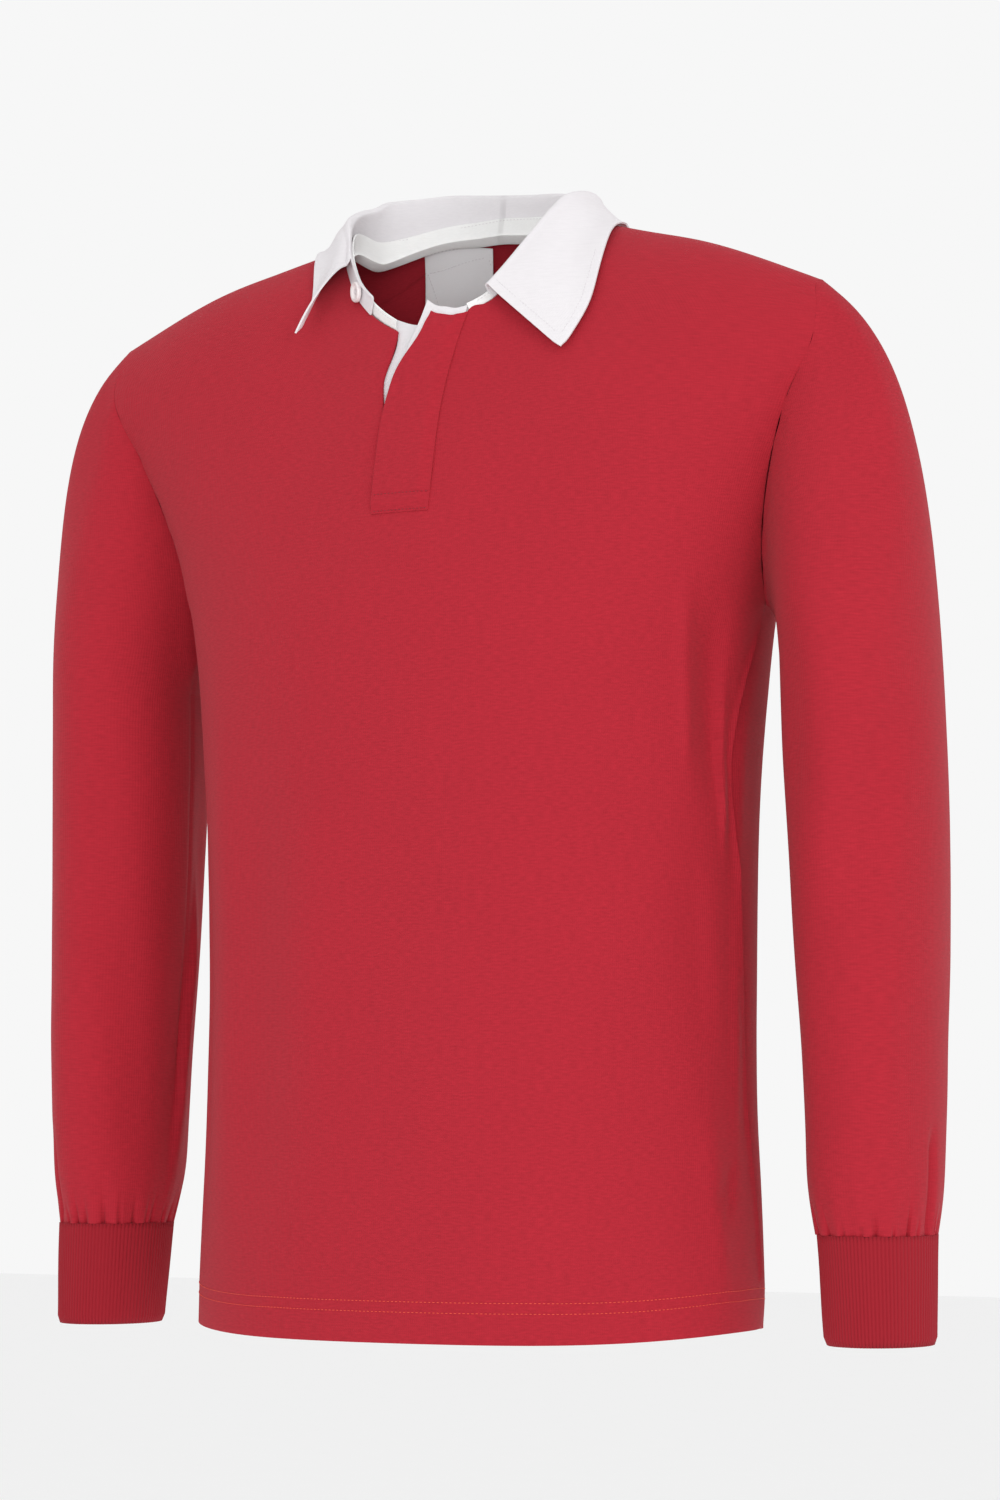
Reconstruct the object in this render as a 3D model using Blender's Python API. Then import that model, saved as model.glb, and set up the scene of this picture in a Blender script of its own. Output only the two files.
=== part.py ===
"""Men's long-sleeved rugby shirt, in the hollow form that it has when it is worn.

Sizes are in millimetres and angles in degrees; the meshes are in metres, with +Z up and the front toward -Y.
+X is the wearer's left. The origin lies between the two high points of the shoulders.
"""

import math
from bisect import bisect_right
from collections import namedtuple
from functools import lru_cache

import bmesh
import bpy
import numpy as np
from mathutils import Matrix, Vector

MM = 0.001
SEAM = 0.3  # gap between two sewn pieces
LAYER = 0.4  # gap between two layers of cloth
STEP = 0.01  # step of the numerical derivatives, in levels and in places round the neck

RED = (0.42, 0.018, 0.03)
WHITE = (0.82, 0.78, 0.80)

# ---- thickness of the cloth ----
JERSEY = 1.5
HEM_SIDE_RISE = 7.0  # the hem hangs a little higher at the side seams
HEM_SIDE_REACH = 260.0
HEM_EXTRA = 0.6  # the turned-up hem is thicker than the single jersey
HEM_TURN_UP = 27.0
COLLAR_CLOTH = 1.2
TAPE_CLOTH = 1.0
PLACKET_CLOTH = 1.5
FACING_CLOTH = 1.0
UNDERLAY_CLOTH = 1.2
LABEL_CLOTH = 1.0
RIB_CLOTH = 1.6
RIB_RELIEF = 0.5

# ---- body below the armholes: horizontal rings ----
HEM_Z = -727.0
ARMPIT_Z = -257.0
BODY_POWER = 2.15  # of the rings' superellipse
Ring = namedtuple("Ring", "z half_width front back seam_forward")
BODY = (
    Ring(HEM_Z, 199.0, 128.0, 97.0, -4.0),
    Ring(-680.0, 198.0, 127.0, 96.0, -4.0),
    Ring(-600.0, 194.5, 125.0, 95.0, 4.0),
    Ring(-500.0, 193.0, 124.0, 96.0, 11.0),
    Ring(-420.0, 194.0, 124.0, 99.0, 17.0),
    Ring(-340.0, 197.5, 125.0, 108.0, 25.0),
    Ring(-290.0, 202.0, 125.0, 116.0, 11.0),
    Ring(ARMPIT_Z, 206.0, 124.5, 120.0, 0.0),
)

# ---- chest, back and shoulders above the armpits ----
Ridge = namedtuple("Ridge", "x y z")
RIDGE = (  # the shoulder line, which lies forward of the body's middle
    Ridge(0.0, -8.0, 31.0),
    Ridge(30.0, -8.0, 27.0),
    Ridge(60.0, -10.0, 15.0),
    Ridge(85.0, -13.0, 4.0),
    Ridge(120.0, -20.0, -7.5),
    Ridge(180.0, -26.0, -24.5),
    Ridge(245.0, -26.0, -51.0),
    Ridge(310.0, -26.0, -81.0),
)
YokeWidth = namedtuple("YokeWidth", "rise half_width")
YOKE_WIDTH = (
    YokeWidth(0.0, 206.0),
    YokeWidth(0.3, 224.0),
    YokeWidth(0.6, 254.0),
    YokeWidth(0.8, 282.0),
    YokeWidth(1.0, 296.0),
)
FRONT_HANDLES = (0.93, 0.3, 0.42)  # Bezier handles of the profile from the chest to the shoulder line
BACK_HANDLES = (1.0, 0.55, 0.62)
Armhole = namedtuple("Armhole", "level turn")
ARMHOLE = (
    Armhole(0.0, 90.0),
    Armhole(0.1, 83.5),
    Armhole(0.25, 77.5),
    Armhole(0.5, 69.5),
    Armhole(0.75, 62.5),
    Armhole(0.9, 58.8),
    Armhole(1.0, 58.5),
)

# ---- neck seam ----
NECK_SIDE = 0.4  # place of the shoulder seam, where 0 is the middle of the back and 1 of the front
NECK_HALF_WIDTH = 85.0
FRONT_DROP = 108.0
FRONT_DROP_POWER = 1.9
BACK_DROP = 18.0
BACK_DROP_POWER = 1.5

# ---- front opening ----
SLOT_HALF_WIDTH = 19.6
SLOT_BOTTOM_Z = -184.5
PLACKET_OVERLAP = 1.0
PLACKET_BOTTOM_Z = -198.0
LAYER_OVER_ROWS = 0.9  # gap between layers whose rows of points differ
FACING_RISE = 5.5
UNDERLAY_RISE = 8.0
UNDERLAY_RIGHT_X = 17.0
SPREAD = (26.0, -5.0, 15.0)  # how far the open flap's top corner is pulled aside
SPREAD_FROM_Z = -148.0
SPREAD_TO_Z = -69.0
SPREAD_POWER = 2.1
SPREAD_REACH = 85.0
Trim = namedtuple("Trim", "z width")
ROLLED_EDGE = (  # how far the flap's rolled edge leaves its white facing bare
    Trim(-125.0, 0.0),
    Trim(-105.0, 1.5),
    Trim(-96.0, 5.0),
    Trim(-88.0, 8.0),
    Trim(-80.0, 8.5),
    Trim(-74.0, 6.0),
    Trim(-66.0, 2.0),
)

# ---- sleeves and cuffs ----
BICEPS_Z = -300.0
CUFF_SEAM_Z = -658.0
CUFF_END_Z = -727.0
Arm = namedtuple("Arm", "z x y half_width half_depth")
ARM = (
    Arm(BICEPS_Z, 271.6, -1.5, 48.8, 67.0),
    Arm(-340.0, 272.4, 0.0, 49.5, 65.5),
    Arm(-407.0, 274.5, 2.0, 49.0, 63.0),
    Arm(-473.0, 276.5, 2.0, 46.8, 62.5),
    Arm(-540.0, 278.3, 1.0, 44.0, 60.0),
    Arm(-607.0, 279.5, 0.0, 41.5, 56.0),
    Arm(-640.0, 280.3, -1.5, 39.8, 51.0),
    Arm(CUFF_SEAM_Z, 281.2, -2.5, 36.6, 45.5),
    Arm(CUFF_END_Z, 284.0, -5.0, 33.7, 42.0),
)
Cap = namedtuple("Cap", "start end follow")  # how far the cap follows the body and the arm
CAP_ARMPIT = Cap(7.0, 60.0, 0.9)
CAP_SIDE = Cap(49.0, 163.0, -0.33)
CAP_TOP = Cap(219.0, 425.0, 0.73)
CREASE = 0.05  # share of the cap that lies in the crease at the armpit
GATHER_HEIGHT = 34.0
GATHER_DEPTH = 1.2
RIBS = 96

# ---- collar: one row for each place round the neck, from the wearer's right to the left ----
Place = namedtuple("Place", "neck stand lean edge_x edge_y edge_z bulge")
COLLAR = (  # the stand's height and lean, from into the neck's hole toward out of the body, and the leaf's edge
    Place(-0.80, 15.0, 45.0, -60.0, -80.0, -60.0, 0.0),
    Place(-0.626, 14.0, 44.0, -95.0, -85.0, -70.0, 7.0),
    Place(-0.57, 14.0, 45.0, -90.0, -75.0, -57.0, 5.0),
    Place(-0.51, 15.5, 48.0, -94.0, -55.0, -36.0, 4.0),
    Place(-0.46, 18.0, 52.0, -104.0, -32.0, -14.0, 1.0),
    Place(-0.40, 22.0, 54.0, -112.0, -10.0, 2.0, 0.0),
    Place(-0.30, 33.5, 54.0, -108.0, 24.0, 4.0, 0.0),
    Place(-0.15, 36.0, 52.0, -70.0, 64.0, -4.0, 0.0),
    Place(0.0, 27.5, 54.0, 0.0, 84.0, -6.0, 0.0),
    Place(0.15, 26.0, 52.0, 70.0, 64.0, -4.0, 0.0),
    Place(0.30, 19.0, 54.0, 98.0, 24.0, 0.0, 0.0),
    Place(0.40, 17.0, 54.0, 111.0, -12.0, -5.0, 0.0),
    Place(0.46, 17.0, 50.0, 115.0, -28.0, -18.0, 1.0),
    Place(0.55, 14.5, 40.0, 117.0, -48.0, -41.0, 2.0),
    Place(0.66, 12.0, 32.0, 116.5, -72.0, -66.0, 2.0),
    Place(0.80, 9.5, 30.0, 102.5, -88.0, -97.0, 0.0),
)
LEAF_FROM = -0.626  # on the wearer's right the stand runs on past the leaf as a button tab
FOLD_RADIUS = 4.0
FALL_START = 9.0
LEAF_CLEARANCE = 3.8

# ---- neck tape, label and button ----
TAPE_BELOW = 6.0
Tape = namedtuple("Tape", "neck above")
TAPE = (
    Tape(-1.0, 4.5),
    Tape(-0.80, 8.0),
    Tape(-0.50, 9.0),
    Tape(0.0, 10.0),
    Tape(0.50, 9.0),
    Tape(0.80, 5.5),
    Tape(1.0, 5.0),
)
LABEL_X = -38.0
LABEL_WIDTH = 47.0
LABEL_HEIGHT = 50.0
LABEL_GAP = 2.2
TAPE_END = 2.5
TAPE_GAP = 1.5
BUTTON_PLACE = -0.725
BUTTON_RADIUS = 7.0
BUTTON_HEIGHT = 3.4

# ---- how finely the pieces are divided ----
LOWER_ROWS = 9
BELOW_SLOT_ROWS = 2
SLOT_ROWS = 4
NECK_ROWS = 8
YOKE_ROWS = BELOW_SLOT_ROWS + SLOT_ROWS + NECK_ROWS
HALF_COLUMNS = 12
CAP_ROWS = 9
SLEEVE_ROWS = 11
STAND_ROWS = 2
FOLD_ROWS = 4
FALL_ROWS = 5


@lru_cache(maxsize=None)
def knots(rows, across, value):
    """Two columns of a table, rising, with the slopes of a smooth curve through them."""
    pairs = sorted((getattr(row, across), getattr(row, value)) for row in rows)
    xs, ys = [pair[0] for pair in pairs], [pair[1] for pair in pairs]
    return xs, ys, [float(slope) for slope in np.gradient(ys, xs)]


def curve(rows, across, value, at):
    """Smooth curve through two columns of a table, read at one place."""
    xs, ys, slopes = knots(rows, across, value)
    at = min(xs[-1], max(xs[0], at))
    i = min(bisect_right(xs, at) - 1, len(xs) - 2)
    width = xs[i + 1] - xs[i]
    t = (at - xs[i]) / width
    return hermite(t, ys[i], ys[i + 1], slopes[i] * width, slopes[i + 1] * width)


def hermite(t, start, end, start_slope, end_slope):
    return (
        start * (1 + 2 * t) * (1 - t) ** 2
        + end * (3 - 2 * t) * t**2
        + start_slope * t * (1 - t) ** 2
        - end_slope * (1 - t) * t**2
    )


def bezier(t, start, first, second, end):
    return (
        start * (1 - t) ** 3
        + 3 * first * t * (1 - t) ** 2
        + 3 * second * t**2 * (1 - t)
        + end * t**3
    )


def lerp(a, b, t):
    return a + (b - a) * t


def clamp(t):
    return min(1.0, max(0.0, t))


def smoothstep(t):
    t = clamp(t)
    return t * t * (3 - 2 * t)


def signed_power(value, power):
    return math.copysign(abs(value) ** power, value)


def unit(vector):
    return vector / np.linalg.norm(vector)


# ---- torso: side -1 is the front and 1 the back; level 0 is the armpits and 1 the shoulder line ----


def profile(level, side):
    """Depth and rise of the profile above the armpits. Past the shoulder line it runs down the other side."""
    past = level > 1
    t = 2 - level if past else level
    chest, low, high = FRONT_HANDLES if side < 0 else BACK_HANDLES
    depth = bezier(t, 1.0, chest, high, 0.0)
    rise = bezier(t, 0.0, low, 1.0, 1.0)
    return (-depth if past else depth), rise


def torso(turn, level, side):
    """Point of the outer face. Turn is the angle from the middle; a level below 0 is in mm under the armpits."""
    if abs(turn) > 90:  # past the widest place the other side's outline goes on
        turn, side = math.copysign(180 - abs(turn), turn), -side
    across = signed_power(math.sin(math.radians(turn)), 2 / BODY_POWER)
    along = signed_power(math.cos(math.radians(turn)), 2 / BODY_POWER)
    column = "front" if side < 0 else "back"
    if level <= 0:
        z = ARMPIT_Z + level
        return np.array([curve(BODY, "z", "half_width", z) * across, side * curve(BODY, "z", column, z) * along, z])
    depth, rise = profile(level, side)
    x = curve(YOKE_WIDTH, "rise", "half_width", rise) * across
    y = curve(RIDGE, "x", "y", abs(x)) * smoothstep(rise) + side * getattr(BODY[-1], column) * along * depth
    z = ARMPIT_Z + (curve(RIDGE, "x", "z", abs(x)) - ARMPIT_Z) * rise
    return np.array([x, y, z])


def torso_normal(turn, level, side):
    """Outward normal. Front and back agree on it along the seams that they share."""
    below = level - 0.5 if level <= 0 else max(0.0, level - STEP)
    above = level if level <= 0 else level + STEP
    across = torso(turn + 0.1, level, side) - torso(turn - 0.1, level, side)
    up = torso(turn, above, side) - torso(turn, below, side)
    return -side * unit(np.cross(across, up))


def on_torso(x, z, side):
    """Turn and level of the place above the armpits that has a given x and z."""
    rise = clamp((z - ARMPIT_Z) / (curve(RIDGE, "x", "z", abs(x)) - ARMPIT_Z))
    low, high = 0.0, 1.0
    for _ in range(40):
        middle = (low + high) / 2
        low, high = (middle, high) if profile(middle, side)[1] < rise else (low, middle)
    across = x / curve(YOKE_WIDTH, "rise", "half_width", rise)
    return math.degrees(math.asin(signed_power(across, BODY_POWER / 2))), low


# ---- neck seam: place 0 is the middle of the back, 1 and -1 that of the front ----


def neckline(place):
    """Turn, level and side of the neck seam."""
    half = abs(place)
    if half <= NECK_SIDE:
        around = math.radians(90 * half / NECK_SIDE)
        drop, power, side = BACK_DROP, BACK_DROP_POWER, 1
    else:
        around = math.radians(90 * (1 - half) / (1 - NECK_SIDE))
        drop, power, side = FRONT_DROP, FRONT_DROP_POWER, -1
    x = NECK_HALF_WIDTH * math.sin(around) * math.copysign(1, place)
    fall = drop * max(0.0, math.cos(around)) ** power
    turn, level = on_torso(x, curve(RIDGE, "x", "z", abs(x)) - fall, side)
    return turn, (1.0 if half == NECK_SIDE else level), side


def neck_place(x):
    """Place of the front neck seam with a given x on the wearer's left."""
    return 1 - (1 - NECK_SIDE) * math.degrees(math.asin(x / NECK_HALF_WIDTH)) / 90


def flap_shift(point):
    """How the open front flap, on the wearer's left, is pulled aside near its top."""
    up = clamp((point[2] - SPREAD_FROM_Z) / (SPREAD_TO_Z - SPREAD_FROM_Z)) ** SPREAD_POWER
    beside = 1 - smoothstep((point[0] + SLOT_HALF_WIDTH) / SPREAD_REACH)
    return np.array(SPREAD) * up * beside


def neck_frame(place):
    """Point of the neck seam, the torso's normal there and the direction into the neck's hole."""
    turn, level, side = neckline(place)
    point = torso(turn, level, side)
    normal = torso_normal(turn, level, side)
    ahead = torso(*neckline(place + STEP)) - torso(*neckline(place - STEP))
    into = unit(np.cross(ahead, normal))
    if np.dot(into, np.array([0.0, 0.0, 1.0]) - point / 200.0) < 0:
        into = -into
    if place > NECK_SIDE:
        point = point + flap_shift(point)
    return point, normal, into


def neck_places(first, last):
    """Places from first to last, with those of the panels' neck edges between them."""
    stop = neck_place(SLOT_HALF_WIDTH)
    half = list(np.linspace(0.0, NECK_SIDE, NECK_ROWS + 1)) + list(np.linspace(NECK_SIDE, stop, NECK_ROWS + 1))[1:]
    between = [place for place in [-place for place in half[:0:-1]] + half if first + STEP < place < last - STEP]
    return [first] + between + [last]


# ---- meshes ----


def wall(name, outer, inner, faces, colour, flip=False):
    """Closed wall of cloth between two skins of points that share their faces."""
    cloth = bmesh.new()
    skins = [[cloth.verts.new(np.asarray(point) * MM) for point in points] for points in (outer, inner)]
    if flip:
        faces = [face[::-1] for face in faces]
    faces = [corners for face in faces for corners in split(face, outer)]
    edges = {(a, b) for face in faces for a, b in zip(face, face[1:] + face[:1])}
    for face in faces:
        cloth.faces.new([skins[0][i] for i in face])
        cloth.faces.new([skins[1][i] for i in reversed(face)])
    for a, b in sorted(edges):
        if (b, a) not in edges:
            cloth.faces.new((skins[0][b], skins[0][a], skins[1][a], skins[1][b]))
    unused = [vert for vert in cloth.verts if not vert.link_faces]
    bmesh.ops.delete(cloth, geom=unused, context="VERTS")
    mesh = bpy.data.meshes.new(name)
    cloth.to_mesh(mesh)
    cloth.free()
    mesh.shade_smooth()
    mesh.set_sharp_from_angle(angle=math.radians(50))
    return add(name, mesh, colour)


def split(face, points):
    """A quad's two triangles, along its shorter diagonal, so that both skins are divided alike."""
    if len(face) == 3:
        return [face]
    a, b, c, d = face
    if np.linalg.norm(points[a] - points[c]) <= np.linalg.norm(points[b] - points[d]):
        return [[a, b, c], [a, c, d]]
    return [[a, b, d], [b, c, d]]


def add(name, mesh, colour):
    """Links an object with a cloth material of its own."""
    material = bpy.data.materials.new(name)
    material.use_nodes = True
    shader = material.node_tree.nodes["Principled BSDF"]
    shader.inputs["Base Color"].default_value = (*colour, 1.0)
    shader.inputs["Roughness"].default_value = 0.9
    shader.inputs["Metallic"].default_value = 0.0
    mesh.materials.append(material)
    piece = bpy.data.objects.new(name, mesh)
    bpy.context.collection.objects.link(piece)
    return piece


def grid_faces(rows, columns, closed=False, kept=lambda row, column: True):
    """Quads of a grid whose points are listed row by row."""
    faces = []
    for row in range(rows - 1):
        for column in range(columns if closed else columns - 1):
            if kept(row, column):
                beside = (column + 1) % columns
                low, high = row * columns, (row + 1) * columns
                faces.append([low + column, low + beside, high + beside, high + column])
    return faces


# ---- front and back ----


def jersey_thickness(level):
    """The hem is turned up, so its wall is thicker."""
    return JERSEY + HEM_EXTRA * smoothstep((HEM_Z + HEM_TURN_UP + 4 - ARMPIT_Z - level) / 4)


def panel_rows(side):
    """Inner and outer end of each row of half a panel, as turn and level, from the hem to the shoulder seam."""
    hem_top = HEM_Z + HEM_TURN_UP
    heights = [HEM_Z, hem_top] + list(np.linspace(hem_top + 5, ARMPIT_Z, LOWER_ROWS))[:-1]
    middle_x = SLOT_HALF_WIDTH if side < 0 else 0.0
    rows = []
    for z in heights:
        width = curve(BODY, "z", "half_width", z)
        forward = curve(BODY, "z", "seam_forward", z)
        depth = curve(BODY, "z", "front" if forward > 0 else "back", z)
        middle = math.degrees(math.asin((middle_x / width) ** (BODY_POWER / 2)))
        seam = 90 + side * math.degrees(forward / depth)
        rows.append(((middle, z - ARMPIT_Z), (seam, z - ARMPIT_Z)))
    stop = neck_place(SLOT_HALF_WIDTH) if side < 0 else 0.0
    top_level = neckline(stop)[1]
    slot_level = on_torso(middle_x, SLOT_BOTTOM_Z, side)[1]
    levels = [lerp(0.0, slot_level, row / BELOW_SLOT_ROWS) for row in range(BELOW_SLOT_ROWS)]
    levels += [lerp(slot_level, top_level, row / SLOT_ROWS) for row in range(SLOT_ROWS)]
    inner = []
    for level in levels:
        width = curve(YOKE_WIDTH, "rise", "half_width", profile(level, side)[1])
        inner.append((math.degrees(math.asin((middle_x / width) ** (BODY_POWER / 2))), level))
    inner += [neckline(lerp(stop, NECK_SIDE, row / NECK_ROWS))[:2] for row in range(NECK_ROWS + 1)]
    for row, start in enumerate(inner):
        level = row / YOKE_ROWS
        rows.append((start, (curve(ARMHOLE, "level", "turn", level), level)))
    return rows


def build_panel(name, side):
    """Front or back, cut at the side seams, armholes, shoulder seams and neck; the front has a slot."""
    ends = panel_rows(side)
    first_yoke = len(ends) - YOKE_ROWS - 1
    joined = first_yoke + BELOW_SLOT_ROWS + (0 if side < 0 else SLOT_ROWS)  # last row with no gap in its middle
    outer, inner, faces = [], [], []
    middle = {}
    for row in range(joined + 1):
        level = ends[row][0][1]
        point, normal = torso(0.0, level, side), torso_normal(0.0, level, side)
        middle[row] = len(outer)
        outer.append(point)
        inner.append(point - normal * jersey_thickness(level))
    for hand in (-1, 1):
        grid = [[panel_point(start, end, column, hand, side) for column in range(HALF_COLUMNS + 1)] for start, end in ends]
        for row in grid:  # stand back from the side seam and the armhole
            row[-1] = (row[-1][0] + unit(row[-2][0] - row[-1][0]) * SEAM / 2, row[-1][1])
        for column, (point, normal) in enumerate(grid[-1]):  # and from the shoulder seam
            grid[-1][column] = (point + unit(grid[-2][column][0] - point) * SEAM / 2, normal)
        index = []
        for number, row in enumerate(grid):
            skip = 1 if side > 0 and number <= joined else 0
            places = [middle[number]] if number <= joined else [None]
            for point, normal in row[skip:]:
                places.append(len(outer))
                outer.append(point)
                inner.append(point - normal * jersey_thickness(ends[number][0][1]))
            index.append(places if side < 0 or skip else places[1:])
        for low, high in zip(index, index[1:]):
            for column in range(len(low) - 1):
                corners = [low[column], low[column + 1], high[column + 1], high[column]]
                if None not in corners:
                    faces.append(corners if hand > 0 else corners[::-1])
    wall(name, outer, inner, faces, RED, flip=side > 0)


def panel_point(start, end, column, hand, side):
    """Point and normal of one column of a panel's row, on one hand."""
    share = column / HALF_COLUMNS
    turn, level = hand * lerp(start[0], end[0], share), lerp(start[1], end[1], share)
    hem = smoothstep(1 - (ARMPIT_Z + level - HEM_Z) / HEM_SIDE_REACH)
    level += HEM_SIDE_RISE * hem * math.sin(math.radians(turn)) ** 4
    point = torso(turn, level, side)
    if side < 0 and hand > 0 and level > 0:
        point = point + flap_shift(point)
    return point, torso_normal(turn, level, side)


# ---- front opening ----


def front_patch(name, x_range, z_range, lift, thickness, colour, columns=6, rows=8, flap=True):
    """Strip that lies over or under the front's slot. The ranges give its edges as functions."""
    points = []
    for row in range(rows + 1):
        for column in range(columns + 1):
            z_share = row / rows
            z_guess = lerp(z_range(0.0)[0], z_range(0.0)[1], z_share)
            x_low, x_high = x_range(z_guess)
            x = lerp(x_low, x_high, column / columns)
            z = lerp(*z_range(x), z_share)
            turn, level = on_torso(x, z, -1)
            point, normal = torso(turn, level, -1), torso_normal(turn, level, -1)
            if flap:
                point = point + flap_shift(np.array([point[0], point[1], min(point[2], neck_z(x))]))
            points.append((point + normal * lift, normal))
    outer = [point for point, _ in points]
    inner = [point - normal * thickness for point, normal in points]
    wall(name, outer, inner, grid_faces(rows + 1, columns + 1), colour)


def neck_z(x):
    """Height of the front neck seam at a given x."""
    around = math.asin(abs(x) / NECK_HALF_WIDTH)
    return curve(RIDGE, "x", "z", abs(x)) - FRONT_DROP * math.cos(around) ** FRONT_DROP_POWER


def build_opening():
    """Placket with its facing on the wearer's left, and the white underlay on the right."""
    wide = SLOT_HALF_WIDTH + PLACKET_OVERLAP
    narrow = SLOT_HALF_WIDTH - LAYER
    facing_lift = 0.0
    front_patch(
        "placket",
        lambda z: (-wide + curve(ROLLED_EDGE, "z", "width", z), wide),
        lambda x: (PLACKET_BOTTOM_Z, neck_z(x)),
        LAYER_OVER_ROWS + PLACKET_CLOTH,
        PLACKET_CLOTH,
        RED,
        rows=11,
    )
    front_patch(
        "placket_facing",
        lambda z: (-narrow, narrow),
        lambda x: (SLOT_BOTTOM_Z + LAYER_OVER_ROWS, neck_z(x) + FACING_RISE),
        facing_lift,
        FACING_CLOTH,
        WHITE,
        rows=10,
    )
    front_patch(
        "underlay",
        lambda z: (-narrow, UNDERLAY_RIGHT_X),
        lambda x: (PLACKET_BOTTOM_Z, neck_z(x) + UNDERLAY_RISE),
        -JERSEY - LAYER_OVER_ROWS,
        UNDERLAY_CLOTH,
        WHITE,
        columns=5,
        flap=False,
    )


# ---- sleeves and cuffs ----


def armhole(around):
    """Point, normal and outward direction at the armhole: 0 is the armpit, 90 the front, 180 the shoulder."""

    def at(angle):
        angle %= 360
        side = -1 if angle <= 180 else 1
        level = (angle if side < 0 else 360 - angle) / 180
        return curve(ARMHOLE, "level", "turn", level), level, side

    point, normal = torso(*at(around)), torso_normal(*at(around))
    ahead = torso(*at(around + 1)) - torso(*at(around - 1))
    return point, normal, unit(np.cross(ahead, normal))


def arm_ring(z, around, swell=0.0):
    """Point of the sleeve's or cuff's outer face at a height, on the wearer's left."""
    angle = math.radians(around)
    x, y = curve(ARM, "z", "x", z), curve(ARM, "z", "y", z)
    wide, deep = curve(ARM, "z", "half_width", z), curve(ARM, "z", "half_depth", z)
    return np.array([x - (wide + swell) * math.cos(angle), y - (deep + swell) * math.sin(angle), z])


def cap_value(name, around):
    """Blend of a cap setting between the armpit, the front and back, and the top of the shoulder."""
    along = math.cos(math.radians(around))
    armpit, beside, top = (getattr(cap, name) for cap in (CAP_ARMPIT, CAP_SIDE, CAP_TOP))
    return beside + (armpit - beside) * max(0.0, along) ** 2 + (top - beside) * max(0.0, -along) ** 2


def sleeve_point(around, along):
    """Point of the sleeve: along runs from 0 at the armhole, past 1 at the biceps, to 2 at the cuff."""
    if along <= 1:
        point, _, outward = armhole(around)
        start, end = point + outward * SEAM, arm_ring(BICEPS_Z, around)
        heading = unit(lerp(unit(end - start), outward, cap_value("follow", around)) * np.array([1, 0, 1]))
        down = arm_ring(BICEPS_Z - 1, around) - end
        return hermite(along, start, end, heading * cap_value("start", around), down * cap_value("end", around))
    z = lerp(BICEPS_Z, CUFF_SEAM_Z, along - 1)
    gathered = smoothstep(1 - (z - CUFF_SEAM_Z) / GATHER_HEIGHT)
    wave = math.cos(math.radians(around * YOKE_ROWS))
    return arm_ring(z, around, GATHER_DEPTH * gathered * wave)


def sleeve_normal(around, along):
    """Outward normal, which turns to the torso's at the shoulder so that the two walls' edges stay apart."""
    if along == 0:
        crook = smoothstep((math.cos(math.radians(around)) + 0.2) / 0.6)
        return unit(lerp(armhole(around)[1], sleeve_normal(around, CREASE), crook))
    across = sleeve_point(around + 4, along) - sleeve_point(around - 4, along)
    down = sleeve_point(around, min(2.0, along + STEP)) - sleeve_point(around, along - STEP)
    return unit(np.cross(down, across))


def build_sleeve(name, hand):
    """Sleeve from the armhole to the gathers at the cuff."""
    mirror = np.array([hand, 1, 1])
    alongs = [row / CAP_ROWS for row in range(CAP_ROWS)]
    alongs += [1 + (row / SLEEVE_ROWS) ** 0.9 for row in range(SLEEVE_ROWS + 1)]
    columns = 2 * YOKE_ROWS
    outer, inner = [], []
    for along in alongs:
        for column in range(columns):
            around = 360 * column / columns
            point, normal = sleeve_point(around, along), sleeve_normal(around, along)
            outer.append(point * mirror)
            inner.append((point - normal * JERSEY) * mirror)
    faces = grid_faces(len(alongs), columns, closed=True)
    wall(name, outer, inner, faces, RED, flip=hand > 0)


def build_cuff(name, hand):
    """Ribbed cuff: the ribs stand on its outer face, and its inside is plain."""
    mirror = np.array([hand, 1, 1])
    heights = (CUFF_SEAM_Z - SEAM, CUFF_END_Z)
    columns = 2 * RIBS
    outer, inner = [], []
    for z in heights:
        for column in range(columns):
            around = 360 * column / columns
            relief = RIB_RELIEF if column % 2 else 0.0
            outer.append(arm_ring(z, around, relief) * mirror)
            inner.append(arm_ring(z, around, -RIB_CLOTH) * mirror)
    wall(name, outer, inner, grid_faces(2, columns, closed=True), RED, flip=hand > 0)


# ---- collar, tape, label and button ----


def keep_clear(point, clearance):
    """Moves a point out until it is clear of the torso, softly."""
    side = -1 if point[1] < curve(RIDGE, "x", "y", abs(point[0])) else 1
    turn, level = on_torso(point[0], point[2], side)
    normal = torso_normal(turn, level, side)
    height = float(np.dot(point - torso(turn, level, side), normal))
    wanted = (height + clearance + math.hypot(height - clearance, 2.0)) / 2
    return point + normal * (wanted - height)


def collar_fold(place):
    """Foot of the stand, the way that it rises, its height, and the way that the leaf falls away from it."""
    seam, normal, into = neck_frame(place)
    foot = seam + (normal + into) * SEAM
    stand, lean = curve(COLLAR, "neck", "stand", place), math.radians(curve(COLLAR, "neck", "lean", place))
    up = into * math.cos(lean) + normal * math.sin(lean)
    edge = np.array([curve(COLLAR, "neck", f"edge_{axis}", place) for axis in "xyz"])
    away = edge - foot
    return foot, up, stand, unit(away - up * np.dot(away, up)), edge


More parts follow.
